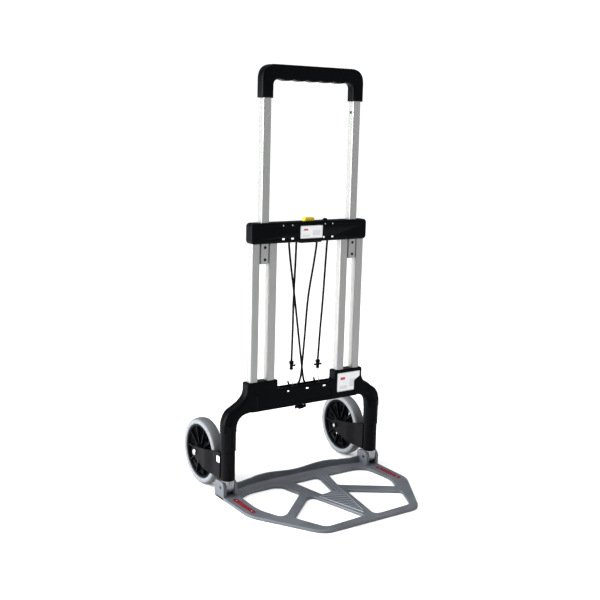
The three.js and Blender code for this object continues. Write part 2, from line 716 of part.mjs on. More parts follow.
function barOutline() {
  return rounded([
    [BAR_HALF_LENGTH, BAR_BOTTOM, 10],
    [BAR_HALF_LENGTH, BAR_TOP, 10],
    [-BAR_HALF_LENGTH, BAR_TOP, 10],
    [-BAR_HALF_LENGTH, BAR_BOTTOM, 10],
  ]);
}

function lipOutline() {
  return rounded([
    [-40, BAR_BOTTOM + 8],
    [-34, BAR_BOTTOM - LIP_DROP, 3],
    [34, BAR_BOTTOM - LIP_DROP, 3],
    [40, BAR_BOTTOM + 8],
  ]);
}

function crossbarCuts() {
  const tools = [];
  for (const { sign } of SIDES) {
    const slotHalf = [TUBE_WIDTH / 2 + RUN, TUBE_DEPTH / 2 + RUN];
    const x = sign * TUBE_X;
    const passage = roundedBox(x - slotHalf[0], x + slotHalf[0], -slotHalf[1], slotHalf[1], 3);
    tools.push(pushZ(passage, BAR_BOTTOM - 5, BAR_TOP + 5, 0, 2));
    for (const railX of [railInnerX, railOuterX]) {
      const half = [RAIL_WIDTH / 2 + GAP, RAIL_DEPTH / 2 + GAP];
      const middle = sign * railX;
      const socket = roundedBox(middle - half[0], middle + half[0], -half[1], half[1], 4);
      tools.push(pushZ(socket, BAR_BOTTOM - 5, RAIL_TOP + GAP, 0, 2));
    }
    const [c0, c1] = spanX(sign, railInnerX - RAIL_WIDTH / 2 - 6, TUBE_X);
    tools.push(rod('x', [(c0 + c1) / 2, 0, LATCH_Z], LATCH_RADIUS + RUN, c1 - c0, 12));
  }
  const pocketHeight = [LATCH_Z - 9, LATCH_Z + 14];
  tools.push(box(-springWall[0], springWall[0], -8, 8, ...pocketHeight));
  for (const { sign } of SIDES) {
    const [s0, s1] = spanX(sign, springWall[1], railInnerX - RAIL_WIDTH / 2 - 3);
    tools.push(box(s0, s1, -8, 8, ...pocketHeight));
    const [w0, w1] = spanX(sign, springWall[0] - 1, springWall[1] + 1);
    tools.push(rod('x', [(w0 + w1) / 2, 0, LATCH_Z], LATCH_RADIUS + RUN, w1 - w0, 12));
  }
  const shaft = [BUTTON_HALF_WIDTH + RUN, BUTTON_DEPTH / 2 + RUN];
  tools.push(pushZ(roundedBox(-shaft[0], shaft[0], -shaft[1], shaft[1], 4), LATCH_Z + 8, BAR_TOP + 5, 0, 3));
  const clearance = CORD_RADIUS + 0.8;
  const slack = CORD_RADIUS + 2.4;
  const eye = [BAR_BOTTOM + 4, LATCH_Z - 7];
  for (const pair of U_TURNS) {
    tools.push(box(pair[0] - slack, pair[1] + slack, -clearance, clearance, ...eye));
    for (const x of pair) {
      tools.push(box(x - slack, x + slack, -clearance, clearance, BAR_BOTTOM - LIP_DROP - 5, eye[0] + 2));
    }
  }
  for (const x of PEEP_HOLES) {
    const hole = roundedBox(x - 4, x + 4, BAR_BOTTOM + 6, BAR_BOTTOM + 12, 2);
    tools.push(pushY(hole, -30, 30, 0, 2));
  }
  return tools;
}

const barHalfDepth = BAR_DEPTH / 2;
const barCuts = crossbarCuts();
const coverRecess = roundedBox(
  -COVER_HALF_WIDTH, COVER_HALF_WIDTH, BAR_BOTTOM + COVER_LOW, BAR_TOP - COVER_HIGH, 4,
);
const coverDepth = 4;
const barSolid = join(
  pushY(barOutline(), -barHalfDepth, barHalfDepth, 4, 4),
  pushY(lipOutline(), -barHalfDepth + 3, barHalfDepth - 3, 1, 3),
);
const everything = 500;
const frontHalf = box(-everything, everything, -everything, -GAP / 2, 0, 2 * everything);
const rearHalf = box(-everything, everything, GAP / 2, everything, 0, 2 * everything);
const recessSolid = pushY(coverRecess, -barHalfDepth - 5, -barHalfDepth + coverDepth, 0, 3);

add('crossbar_front', cut(barSolid.intersect(frontHalf), ...barCuts, recessSolid), 'blackPlastic');
add('crossbar_rear', cut(barSolid.intersect(rearHalf), ...barCuts), 'blackPlastic');

{
  const half = COVER_HALF_WIDTH - GAP;
  const low = BAR_BOTTOM + COVER_LOW + GAP;
  const high = BAR_TOP - COVER_HIGH - GAP;
  const cover = roundedBox(-half, half, low, high, 4);
  const coverSpan = [-barHalfDepth + 1, -barHalfDepth + coverDepth - GAP];
  add('crossbar_cover', pushY(cover, ...coverSpan, 0.8, 3), 'blackPlastic');
  const labelHalf = half - LABEL_EDGE;
  const label = roundedBox(-labelHalf, labelHalf, low + LABEL_EDGE, high - LABEL_EDGE, 2);
  add('crossbar_label', pushY(label, -barHalfDepth + 0.1, -barHalfDepth + 1 - GAP, 0, 2), 'label');
}

const tubeInnerFace = TUBE_X - TUBE_WIDTH / 2;
const plateHalfThickness = 2;             // of the button's slotted plate
const plateHalfWidth = PEG_X + PEG_RADIUS + RUN + 2;
const forkBridge = plateHalfWidth + LATCH_STROKE + 2 * RUN;   // where a pin's fork closes
const flange = [72, 75];

function makeLatchPin(sign) {
  const [end0, end1] = spanX(sign, PEG_X - 4, springWall[0] - GAP);
  const [slot0, slot1] = spanX(sign, PEG_X - 6, forkBridge);
  const [shank0, shank1] = spanX(sign, forkBridge + 1, tubeInnerFace - RUN);
  const [flange0, flange1] = spanX(sign, ...flange);
  const end = cut(
    box(end0, end1, -6, 6, LATCH_Z - 5, LATCH_Z + PEG_RISE + 4),
    box(slot0, slot1, -plateHalfThickness - RUN, plateHalfThickness + RUN, LATCH_Z - 8, LATCH_Z + 12),
  );
  return join(
    end,
    rod('y', [sign * PEG_X, 0, LATCH_Z + PEG_RISE], PEG_RADIUS, 10, 12),
    rod('x', [(shank0 + shank1) / 2, 0, LATCH_Z], LATCH_RADIUS, shank1 - shank0, 16),
    rod('x', [(flange0 + flange1) / 2, 0, LATCH_Z], 6.5, flange1 - flange0, 20),
  );
}

function makeLatchSpring(sign) {
  const turns = 4;
  const perTurn = 8;
  const wire = 0.6;
  const start = springWall[1] + GAP + wire;
  const length = flange[0] - GAP - wire - start;
  const points = [];
  for (let i = 0; i <= turns * perTurn; i += 1) {
    const angle = (i / perTurn) * 2 * Math.PI;
    const along = start + (length * i) / (turns * perTurn);
    points.push([sign * along, 5.3 * Math.cos(angle), LATCH_Z + 5.3 * Math.sin(angle)]);
  }
  return pipe(points, wire, 5, points.length - 1);
}

for (const { name, sign } of SIDES) {
  add(`latch_pin_${name}`, makeLatchPin(sign), 'steel');
  add(`latch_spring_${name}`, makeLatchSpring(sign), 'steel');
}

// Pressing the button draws both pins inwards, each peg running down its slanted slot.
function makeReleaseButton() {
  const half = BUTTON_DEPTH / 2;
  const capBottom = LATCH_Z + PEG_RISE + LATCH_STROKE + 5;
  const slotHalf = PEG_RADIUS + RUN;
  const plate = new THREE.Shape();
  plate.moveTo(-plateHalfWidth, LATCH_Z - 2);
  plate.lineTo(plateHalfWidth, LATCH_Z - 2);
  plate.lineTo(plateHalfWidth, capBottom - 1.5);
  plate.lineTo(BUTTON_HALF_WIDTH - 3, capBottom - 1.5);
  plate.lineTo(BUTTON_HALF_WIDTH - 3, capBottom + 2);
  plate.lineTo(-BUTTON_HALF_WIDTH + 3, capBottom + 2);
  plate.lineTo(-BUTTON_HALF_WIDTH + 3, capBottom - 1.5);
  plate.lineTo(-plateHalfWidth, capBottom - 1.5);
  plate.closePath();
  for (const { sign } of SIDES) {
    const slot = new THREE.Path();
    const low = [sign * PEG_X, LATCH_Z + PEG_RISE];
    const high = [sign * (PEG_X - LATCH_STROKE), low[1] + LATCH_STROKE];
    const across = Math.atan2(high[1] - low[1], high[0] - low[0]) + Math.PI / 2;
    slot.absarc(...low, slotHalf, across, across + Math.PI, false);
    slot.absarc(...high, slotHalf, across + Math.PI, across + 2 * Math.PI, false);
    slot.closePath();
    plate.holes.push(slot);
  }
  const cap = pushY(rounded([
    [-BUTTON_HALF_WIDTH, capBottom],
    [BUTTON_HALF_WIDTH, capBottom],
    [BUTTON_HALF_WIDTH, BAR_TOP + BUTTON_RISE, 7],
    [-BUTTON_HALF_WIDTH, BAR_TOP + BUTTON_RISE, 7],
  ]), -half, half, 1.5, 4);
  return join(cap, pushY(plate, -plateHalfThickness, plateHalfThickness, 0, 4));
}

add('release_button', makeReleaseButton(), 'yellowPlastic');

// ---- handle -------------------------------------------------------------------------------------

for (const { name, sign } of SIDES) {
  const x = sign * TUBE_X;
  const lockHoles = [LATCH_Z, LATCH_Z + HANDLE_TRAVEL];
  const studs = [TUBE_BOTTOM + 11, TUBE_BOTTOM + 42];
  const [h0, h1] = spanX(sign, tubeInnerFace - 2, tubeInnerFace + LATCH_HOLE_DEPTH);
  const tube = cut(
    hollowProfile(x, TUBE_WIDTH, TUBE_DEPTH, TUBE_BOTTOM, GRIP_UNDERSIDE + 16, 4),
    ...lockHoles.map((z) => rod('x', [(h0 + h1) / 2, 0, z], LATCH_RADIUS + RUN, h1 - h0, 12)),
    ...studs.map((z) => rod('y', [x, -TUBE_DEPTH / 2, z], 4, 8, 12)),
  );
  add(`tube_${name}`, tube, 'aluminium');

  const inside = [TUBE_WIDTH / 2 - PROFILE_WALL - GAP, TUBE_DEPTH / 2 - PROFILE_WALL - GAP];
  const plugOutline = roundedBox(x - inside[0], x + inside[0], -inside[1], inside[1], 2);
  const plug = join(
    pushZ(plugOutline, TUBE_BOTTOM + 1, TUBE_BOTTOM + 52, 0, 2),
    ...studs.map((z) => rod('y', [x, -TUBE_DEPTH / 2 + 2.2, z], 3.6, 5.4, 12)),
  );
  add(`slider_${name}`, plug, 'blackPlastic');
}

function gripOutline() {
  const outer = TUBE_X + TUBE_WIDTH / 2 + LEG_WALL_OUTER;
  const inner = TUBE_X - TUBE_WIDTH / 2 - LEG_WALL_INNER;
  const shape = new THREE.Shape();
  const corner = 34;
  shape.moveTo(-outer, LEG_BOTTOM);
  shape.lineTo(-inner, LEG_BOTTOM);
  shape.lineTo(-inner, GRIP_UNDERSIDE - 16);
  shape.quadraticCurveTo(-inner, GRIP_UNDERSIDE, -inner + 18, GRIP_UNDERSIDE);
  const span = 2 * (inner - 22);
  const lobe = span / GRIP_LOBES;
  for (let i = 0; i < GRIP_LOBES; i += 1) {
    const start = -span / 2 + i * lobe;
    shape.lineTo(start, GRIP_UNDERSIDE);
    const lowest = GRIP_UNDERSIDE - 2 * GRIP_LOBE_DEPTH;
    shape.quadraticCurveTo(start + lobe / 2, lowest, start + lobe, GRIP_UNDERSIDE);
  }
  shape.lineTo(inner - 18, GRIP_UNDERSIDE);
  shape.quadraticCurveTo(inner, GRIP_UNDERSIDE, inner, GRIP_UNDERSIDE - 16);
  shape.lineTo(inner, LEG_BOTTOM);
  shape.lineTo(outer, LEG_BOTTOM);
  shape.lineTo(outer, TOTAL_HEIGHT - corner);
  shape.quadraticCurveTo(outer, TOTAL_HEIGHT, outer - corner, TOTAL_HEIGHT);
  shape.lineTo(-outer + corner, TOTAL_HEIGHT);
  shape.quadraticCurveTo(-outer, TOTAL_HEIGHT, -outer, TOTAL_HEIGHT - corner);
  shape.closePath();
  return shape;
}

{
  const halfDepth = TUBE_DEPTH / 2 + LEG_WALL_DEPTH;
  let grip = pushY(gripOutline(), -halfDepth, halfDepth, 5, 4);
  for (const { sign } of SIDES) {
    const x = sign * TUBE_X;
    const half = [TUBE_WIDTH / 2 + GAP, TUBE_DEPTH / 2 + GAP];
    const socket = roundedBox(x - half[0], x + half[0], -half[1], half[1], 3);
    grip = cut(grip, pushZ(socket, LEG_BOTTOM - 5, GRIP_UNDERSIDE + 16 + GAP, 0, 2));
  }
  add('handle_grip', grip, 'blackPlastic');
}

// ---- elastic cord and its hooks -----------------------------------------------------------------

const HOOK_EYE_Z = 342;
const KNOT_Z = MEMBER_BOTTOM - 9;

// Left half: from its hook up through the crossbar, and down across the middle to the knot.
const CORD_LEFT = [
  [-42, 0, HOOK_EYE_Z],
  [-40, 1, 420],
  [-38, 3.2, 505],
  [-36.5, 1, 600],
  [-36, 0, 645],
  [-36, 0, 656],
  [-37.5, 0, 668],
  [-47, 0, 673],
  [-56.5, 0, 668],
  [-58, 0, 656],
  [-57.5, 0, 645],
  [-52, -1, 600],
  [-38, -3.2, 505],
  [-20, -3.2, 385],
  [-6, -3.2, 296],
  [3, -1, 274],
  [4, 0, 262],
  [4, 0, 235],
  [3, 0, KNOT_Z + 4],
];

// Right half: from the knot up across the middle, through the crossbar and down to its hook.
const CORD_RIGHT = [
  [-21, 0, KNOT_Z + 4],
  [-22, 0, 235],
  [-22, 0, 262],
  [-20, 1, 274],
  [-9, 3.2, 296],
  [-1, 3.2, 385],
  [7, 2, 505],
  [22, 1, 600],
  [28, 0, 645],
  [28, 0, 656],
  [30.5, 0, 667],
  [45, 0, 673.5],
  [60, 0, 667],
  [62, 0, 656],
  [61.5, 0, 645],
  [59, 0, 600],
  [54, 0, 505],
  [48, 0, 420],
  [43, 0, HOOK_EYE_Z - 6],
];

add('cord_left', pipe(CORD_LEFT, CORD_RADIUS, 8, CORD_STEPS), 'cord');
add('cord_right', pipe(CORD_RIGHT, CORD_RADIUS, 8, CORD_STEPS), 'cord');

{
  const knot = new THREE.SphereGeometry(1, 12, 7);
  knot.scale(20, 7.5, 7);
  knot.translate(-9, 0, KNOT_Z);
  const bore = CORD_RADIUS + GAP;
  const cords = [CORD_LEFT, CORD_RIGHT].map((route) => toSolid(pipe(route, bore, 8, CORD_STEPS)));
  const underside = box(-40, 30, -20, 20, MEMBER_BOTTOM - GAP, MEMBER_BOTTOM + 20);
  add('cord_knot', cut(toSolid(knot), ...cords, underside), 'cord');
}

// Each end of the cord has a moulded hook, held by a wire that stands in the bracket's trough.
{
  const troughFloor = MEMBER_TOP - 13 + GAP;
  const hooks = [
    { name: 'left', x: -42, eye: HOOK_EYE_Z, foot: -35, arms: [[-42, -29]] },
    { name: 'right', x: 43, eye: HOOK_EYE_Z - 6, foot: 50, arms: [[43, 56], [31, 43]] },
  ];
  for (const { name, x, eye, foot, arms } of hooks) {
    const top = eye - GAP;
    const bottom = top - 24;
    const hook = join(
      rod('z', [x, 0, (top + bottom) / 2], 5, top - bottom, 12),
      rod('z', [x, 0, top - 5], 6.5, 7, 12),
      ...arms.map(([x0, x1]) => box(x0, x1, -3, 3, bottom + 8, bottom + 14)),
    );
    add(`cord_hook_${name}`, hook, 'blackPlastic');
    const start = [x, 0, bottom - GAP];
    const middle = [(x + foot) / 2, 0, (bottom + troughFloor) / 2];
    add(`wire_hook_${name}`, pipe([start, middle, [foot, 0, troughFloor]], 1.1, 8, 4), 'steel');
  }
}

// ---- end ----------------------------------------------------------------------------------------

export default truck;
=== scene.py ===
"""A folding hand truck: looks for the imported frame, in metres, +Z up, load side on -Y."""

import json
import math

import bmesh
import bpy
from mathutils import Matrix, Vector


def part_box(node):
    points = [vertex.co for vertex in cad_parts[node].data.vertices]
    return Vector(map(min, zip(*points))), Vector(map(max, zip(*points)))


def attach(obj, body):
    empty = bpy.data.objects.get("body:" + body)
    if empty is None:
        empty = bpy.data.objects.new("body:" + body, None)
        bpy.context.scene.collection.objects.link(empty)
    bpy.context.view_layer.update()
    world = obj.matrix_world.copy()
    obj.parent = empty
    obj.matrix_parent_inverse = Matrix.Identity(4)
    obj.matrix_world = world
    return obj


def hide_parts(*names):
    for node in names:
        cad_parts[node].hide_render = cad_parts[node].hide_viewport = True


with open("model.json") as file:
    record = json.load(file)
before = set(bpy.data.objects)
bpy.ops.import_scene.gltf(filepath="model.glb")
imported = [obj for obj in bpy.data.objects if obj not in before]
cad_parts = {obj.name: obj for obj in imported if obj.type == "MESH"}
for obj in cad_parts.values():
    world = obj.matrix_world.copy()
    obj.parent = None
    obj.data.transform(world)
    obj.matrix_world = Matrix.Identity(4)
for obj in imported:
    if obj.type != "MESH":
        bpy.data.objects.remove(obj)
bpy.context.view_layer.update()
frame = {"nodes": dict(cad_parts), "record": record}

SIDES = (("left", -1), ("right", 1))
SIGNS = (-1, 1)

# ---- driving dimensions, read from the frame ----------------------------------------------------

PLATE_LOW, PLATE_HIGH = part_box("toe_plate")
PIN_LOW, PIN_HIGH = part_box("hinge_pin_right")
TYRE_LOW, TYRE_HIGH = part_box("tyre_right")
HUB_LOW, HUB_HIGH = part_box("hub_right")
GRIP_LOW, GRIP_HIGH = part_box("handle_grip")
TOWER_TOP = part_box("lower_bracket")[1].z
BAR_LOW, BAR_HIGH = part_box("crossbar_front")
SLEEVE_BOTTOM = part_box("fork_right")[0].z
POST_LOW, POST_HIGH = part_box("post_right")
RAIL_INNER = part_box("rail_right_inner")
RAIL_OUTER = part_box("rail_right_outer")
TUBE_LOW, TUBE_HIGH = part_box("tube_right")

POST_X = (POST_LOW.x + POST_HIGH.x) / 2
PIN_Z = (PIN_LOW.z + PIN_HIGH.z) / 2
AXLE_Y = (TYRE_LOW.y + TYRE_HIGH.y) / 2
AXLE_Z = (TYRE_LOW.z + TYRE_HIGH.z) / 2
WHEEL_RADIUS = (TYRE_HIGH.z - TYRE_LOW.z) / 2
WHEEL_WIDTH = TYRE_HIGH.x - TYRE_LOW.x
TUBE_X = (TUBE_LOW.x + TUBE_HIGH.x) / 2

# ---- sizes shared by several pieces, which the boxes don't show ---------------------------------

PLATE_TOP = 0.008
FIT = 0.0003
TUBE_ROOM = 0.0118
LATCH_Z = 0.684
HANDLE_TRAVEL = 0.306


# ---- camera -------------------------------------------------------------------------------------

def make_camera():
    """Front left view from a little above the handle's crossbar. Angles are in radians."""
    yaw, pitch, roll = 0.5984, 0.1842, 0.0256
    position = (-1.39584, -2.01833, 0.95838)
    forward = Vector((math.sin(yaw) * math.cos(pitch), math.cos(yaw) * math.cos(pitch), -math.sin(pitch)))
    level = Vector((math.cos(yaw), -math.sin(yaw), 0))
    upright = level.cross(forward)
    right = math.cos(roll) * level + math.sin(roll) * upright
    up = -math.sin(roll) * level + math.cos(roll) * upright
    camera = bpy.data.objects.new("camera", bpy.data.cameras.new("camera"))
    camera.data.sensor_width = 36
    camera.data.lens = 56.84
    camera.data.clip_start = 0.05
    turn = Matrix((right, up, -forward)).transposed().to_4x4()
    camera.matrix_world = Matrix.Translation(position) @ turn
    bpy.context.collection.objects.link(camera)
    bpy.context.scene.camera = camera


make_camera()


# ---- materials ----------------------------------------------------------------------------------

class Skin:
    """A material built from nodes, placed by the piece's own coordinates."""

    def __init__(self, name):
        self.made = bpy.data.materials.new(name)
        self.made.use_nodes = True
        self.nodes = self.made.node_tree.nodes
        self.links = self.made.node_tree.links
        self.shader = self.nodes["Principled BSDF"]
        self.place = self.nodes.new("ShaderNodeTexCoord").outputs["Object"]

    def add(self, kind, inputs, **settings):
        """The outputs of a new node. An input is linked if it is given a socket, else set."""
        made = self.nodes.new("ShaderNode" + kind)
        for name, value in settings.items():
            setattr(made, name, value)
        for key, value in inputs.items():
            if isinstance(value, bpy.types.NodeSocket):
                self.links.new(value, made.inputs[key])
            else:
                made.inputs[key].default_value = value
        return made.outputs

    def maths(self, operation, first, second):
        return self.add("Math", {0: first, 1: second}, operation=operation)["Value"]

    def noise(self, scale, detail=3.0, stretch=(1, 1, 1)):
        stretched = self.add("Mapping", {"Vector": self.place, "Scale": stretch})["Vector"]
        return self.add("TexNoise", {"Vector": stretched, "Scale": scale, "Detail": detail})["Fac"]

    def ramp(self, value, low, high, start=0.3, end=0.7):
        """Turns a 0..1 value into a colour between two, or a grey level if low and high are numbers."""
        made = self.nodes.new("ShaderNodeValToRGB")
        made.color_ramp.elements[0].position = start
        made.color_ramp.elements[1].position = end
        for element, level in zip(made.color_ramp.elements, (low, high)):
            element.color = (*level, 1) if isinstance(level, tuple) else (level, level, level, 1)
        self.links.new(value, made.inputs["Fac"])
        return made.outputs["Color"]

    def mixed(self, factor, first, second):
        made = self.nodes.new("ShaderNodeMix")
        made.data_type = "RGBA"
        self.links.new(factor, made.inputs["Factor"])
        for name, value in (("A", first), ("B", second)):
            socket = [s for s in made.inputs if s.name == name and s.type == "RGBA"][0]
            if isinstance(value, tuple):
                socket.default_value = (*value, 1)
            else:
                self.links.new(value, socket)
        return [s for s in made.outputs if s.type == "RGBA"][0]

    def wear_and_sheen_edges(self, low, high):
        """Brighter where the surface turns outwards sharply: rubbed paint on the castings, a painted sheen on
        the mouldings.
        """
        return self.ramp(self.add("NewGeometry", {})["Pointiness"], 0.0, 1.0, low, high)

    def colour(self, value):
        self.links.new(value, self.shader.inputs["Base Color"])

    def roughness(self, value, low, high):
        self.links.new(self.ramp(value, low, high), self.shader.inputs["Roughness"])

    def bump(self, height, strength, distance, after=None):
        inputs = {"Strength": strength, "Distance": distance, "Height": height}
        if after is not None:
            inputs["Normal"] = after
        normal = self.add("Bump", inputs)["Normal"]
        self.links.new(normal, self.shader.inputs["Normal"])
        return normal

    def constant(self, name, value):
        self.shader.inputs[name].default_value = value


def moulded(name, base, lighter, roughness, grain=1800, strength=0.12, gloss_level=0.2):
    """Moulded plastic or rubber: fine grain, slow changes of colour and gloss, and a painted sheen on sharp
    outward edges.
    """
    skin = Skin(name)
    tone = skin.ramp(skin.noise(9), base, lighter)
    # The lighter edge colour is a painted sheen, where light catches the sharp outward edges.
    edge_sheen = tuple(min(1, c * 1.8 + 0.004) for c in lighter)
    skin.colour(skin.mixed(skin.wear_and_sheen_edges(0.52, 0.66), tone, edge_sheen))
    skin.roughness(skin.noise(60, 4), roughness - 0.05, roughness + 0.07)
    skin.bump(skin.noise(grain, 2), strength, 0.0002)
    skin.constant("Specular IOR Level", gloss_level)
    return skin.made


def brushed(name, base, lighter, roughness, stretch, metallic=1.0, scale=500):
    """Drawn or machined metal: fine streaks along the axis with the smallest stretch."""
    skin = Skin(name)
    streaks = skin.noise(scale, 3, stretch)
    skin.colour(skin.mixed(skin.noise(7), skin.ramp(streaks, base, lighter, 0.25, 0.75), lighter))
    skin.roughness(streaks, roughness - 0.06, roughness + 0.08)
    skin.bump(streaks, 0.05, 0.0001)
    skin.constant("Metallic", metallic)
    return skin.made


def cast_paint(name, base, lighter, roughness, metallic, pits=700):
    """Textured paint on a casting: orange peel, fine specks, rubbed edges."""
    skin = Skin(name)
    specks = skin.noise(900, 2)
    tone = skin.ramp(skin.noise(14, 4), base, lighter)
    bright = tuple(min(1, c * 1.7) for c in lighter)
    speckled = skin.mixed(skin.ramp(specks, 0.0, 0.35, 0.55, 0.8), tone, bright)
    rubbed = tuple(min(1, c * 1.5 + 0.03) for c in lighter)
    skin.colour(skin.mixed(skin.wear_and_sheen_edges(0.53, 0.63), speckled, rubbed))
    skin.roughness(specks, roughness - 0.08, roughness + 0.1)
    peel = skin.bump(skin.noise(pits, 3), 0.35, 0.0004)
    skin.bump(skin.noise(45, 2), 0.12, 0.001, after=peel)
    skin.constant("Metallic", metallic)
    return skin.made


def braided(name):
    """Braided sleeve of the elastic cord: two crossing sets of diagonal yarns."""
    skin = Skin(name)
    weave = []
    for slope in (0.6, -0.6):
        turned = skin.add("Mapping", {"Vector": skin.place, "Rotation": (0, slope, 0)})["Vector"]
        weave.append(skin.add("TexWave", {"Vector": turned, "Scale": 210, "Distortion": 0.4},
                              wave_type="BANDS", bands_direction="Z")["Fac"])
    yarn = skin.maths("MAXIMUM", *weave)
    skin.colour(skin.ramp(yarn, (0.0008, 0.0008, 0.0010), (0.0035, 0.0035, 0.0042)))
    skin.roughness(yarn, 0.7, 0.9)
    skin.bump(yarn, 0.6, 0.0003)
    skin.constant("Specular IOR Level", 0.1)
    return skin.made


def printed(name, low, high, border):
    """A blank label: white film with a thin grey keyline, two pale blocks and a plain red bar."""
    skin = Skin(name)
    place = skin.add("SeparateXYZ", {"Vector": skin.place})
    width, height = high.x - low.x, high.z - low.z

    def inside(value, start, end):
        above, below = skin.maths("GREATER_THAN", value, start), skin.maths("LESS_THAN", value, end)
        return skin.maths("MULTIPLY", above, below)

    def patch(left, right, bottom, top):
        """1 in a rectangle given in shares of the label's width and height, 0 outside it."""
        return skin.maths("MULTIPLY", inside(place["X"], low.x + left * width, low.x + right * width),
                          inside(place["Z"], low.z + bottom * height, low.z + top * height))

    def framed(inset):
        x_edge, z_edge = inset / width, inset / height
        return patch(x_edge, 1 - x_edge, z_edge, 1 - z_edge)

    grey, pale, red = (0.5, 0.51, 0.53), (0.6, 0.61, 0.63), (0.45, 0.02, 0.03)
    film = skin.mixed(skin.noise(300), (0.78, 0.78, 0.79), (0.72, 0.72, 0.74))
    face = skin.mixed(framed(border), grey, film)
    face = skin.mixed(framed(1.6 * border), face, film)
    face = skin.mixed(patch(0.55, 0.9, 0.2, 0.62), face, pale)
    face = skin.mixed(patch(0.1, 0.42, 0.14, 0.3), face, pale)
    skin.colour(skin.mixed(patch(0.14, 0.34, 0.62, 0.76), face, red))
    skin.roughness(skin.noise(80), 0.28, 0.4)
    skin.bump(skin.noise(400), 0.03, 0.0002)
    return skin.made


def tyre_rubber(name):
    """Grey rubber: paler moulded ring on the sidewall, darker scuffed tread."""
    skin = Skin(name)
    from_axle = skin.add("Mapping", {"Vector": skin.place, "Location": (0, -AXLE_Y, -AXLE_Z),
                                     "Scale": (0, 1, 1)})
    radius = skin.add("VectorMath", {0: from_axle["Vector"]}, operation="LENGTH")["Value"]
    outward = skin.add("MapRange", {"Value": radius, "From Min": WHEEL_RADIUS - 0.016,
                                    "From Max": WHEEL_RADIUS})
    scuffs = skin.noise(130, 5)
    ring = skin.ramp(outward["Result"], (0.150, 0.165, 0.180), (0.060, 0.065, 0.070), 0.45, 0.98)
    skin.colour(skin.mixed(skin.ramp(scuffs, 0.0, 0.3, 0.5, 0.75), ring, (0.045, 0.048, 0.052)))
    skin.roughness(scuffs, 0.5, 0.68)
    skin.bump(skin.noise(1100, 3), 0.18, 0.0002)
    return skin.made


BLACK = moulded("black_plastic", (0.0005, 0.0008, 0.0012), (0.0012, 0.0018, 0.0026), 0.36, gloss_level=0.03)
GRIP = moulded("grip_plastic", (0.0005, 0.0007, 0.0010), (0.0013, 0.0017, 0.0024), 0.34, 1300, 0.2, 0.03)
FORK = moulded("fork_plastic", (0.0010, 0.0010, 0.0014), (0.0024, 0.0024, 0.0032), 0.44, gloss_level=0.04)
# Near-black steel: the axle parts and fork studs are blackened, and on the hinge pins it is painted shade of
# the recess in the cheeks.
DARK_STEEL_AND_PIN_SHADE = moulded("blackened_steel_and_pin_shade", (0.0015, 0.0015, 0.0018), (0.004, 0.004, 0.0045), 0.42, 900, 0.1,
                     0.12)
YELLOW = moulded("yellow_plastic", (0.50, 0.40, 0.008), (0.60, 0.48, 0.012), 0.34)
RED = moulded("red_plastic", (0.075, 0.0016, 0.006), (0.125, 0.003, 0.010), 0.36, 900, 0.25, 0.15)
PAD = moulded("pad_rubber", (0.006, 0.006, 0.007), (0.012, 0.012, 0.013), 0.7)
ALUMINIUM = brushed("aluminium", (0.235, 0.24, 0.235), (0.275, 0.278, 0.272), 0.34, (1, 1, 0.002), 0.55)
STEEL = brushed("steel", (0.30, 0.31, 0.32), (0.48, 0.48, 0.49), 0.3, (0.2, 1, 1))
CASTING = cast_paint("toe_casting", (0.060, 0.068, 0.080), (0.095, 0.105, 0.120), 0.50, 0.25)
FOOT = cast_paint("foot_casting", (0.16, 0.172, 0.19), (0.24, 0.255, 0.275), 0.42, 0.6, 500)
RUBBER = tyre_rubber("grey_tyre")
CORD = braided("cord")


# ---- mesh tools ---------------------------------------------------------------------------------

def link(name, mesh):
    made = bpy.data.objects.new(name, mesh)
    bpy.context.collection.objects.link(made)
    return made


def duplicate(made):
    return link(made.name + "_copy", made.data.copy())


def mend(mesh, weld=False):
    """Turns every face outwards. With weld, points that lie on each other are merged first."""
    bm = bmesh.new()
    bm.from_mesh(mesh)
    if weld:
        bmesh.ops.remove_doubles(bm, verts=bm.verts, dist=1e-6)
    bmesh.ops.recalc_face_normals(bm, faces=bm.faces)
    bm.to_mesh(mesh)
    bm.free()


def from_faces(name, points, faces):
    mesh = bpy.data.meshes.new(name)
    mesh.from_pydata([tuple(p) for p in points], [], faces)
    mend(mesh)
    return link(name, mesh)


def lofted(name, rings):
    """A skin over successive rings of points, with the first and last ring filled."""
    count = len(rings[0])
    last = (len(rings) - 1) * count
    faces = []
    for a in range(0, last, count):
        b = a + count
        faces += [(a + k, a + (k + 1) % count, b + (k + 1) % count, b + k) for k in range(count)]
    faces.append(tuple(range(count))[::-1])
    faces.append(tuple(last + k for k in range(count)))
    return from_faces(name, [point for ring in rings for point in ring], faces)


def applied(made):
    """Replaces the object's data with what its modifiers, or its curve, evaluate to."""
    graph = bpy.context.evaluated_depsgraph_get()
    mesh = bpy.data.meshes.new_from_object(made.evaluated_get(graph))
    name = made.name
    matrix = made.matrix_world.copy()
    bpy.data.objects.remove(made)
    fresh = link(name, mesh)
    mesh.name = name
    mesh.transform(matrix)
    return fresh


def corners(points, radius=0.0, steps=8):
    """The closed outline through points, each corner rounded by its own radius or by the common one."""
    outline = []
    count = len(points)
    for i, point in enumerate(points):
        here = Vector(point[:2])
        own = point[2] if len(point) > 2 else radius
        before = Vector(points[i - 1][:2]) - here
        after = Vector(points[(i + 1) % count][:2]) - here
        reach = min(own, before.length * 0.48, after.length * 0.48)
        if reach <= 0:
            outline.append(here)
            continue
        start = here + before.normalized() * reach
        end = here + after.normalized() * reach
        for step in range(steps + 1):
            t = step / steps
            outline.append((1 - t) ** 2 * start + 2 * t * (1 - t) * here + t * t * end)
    return outline


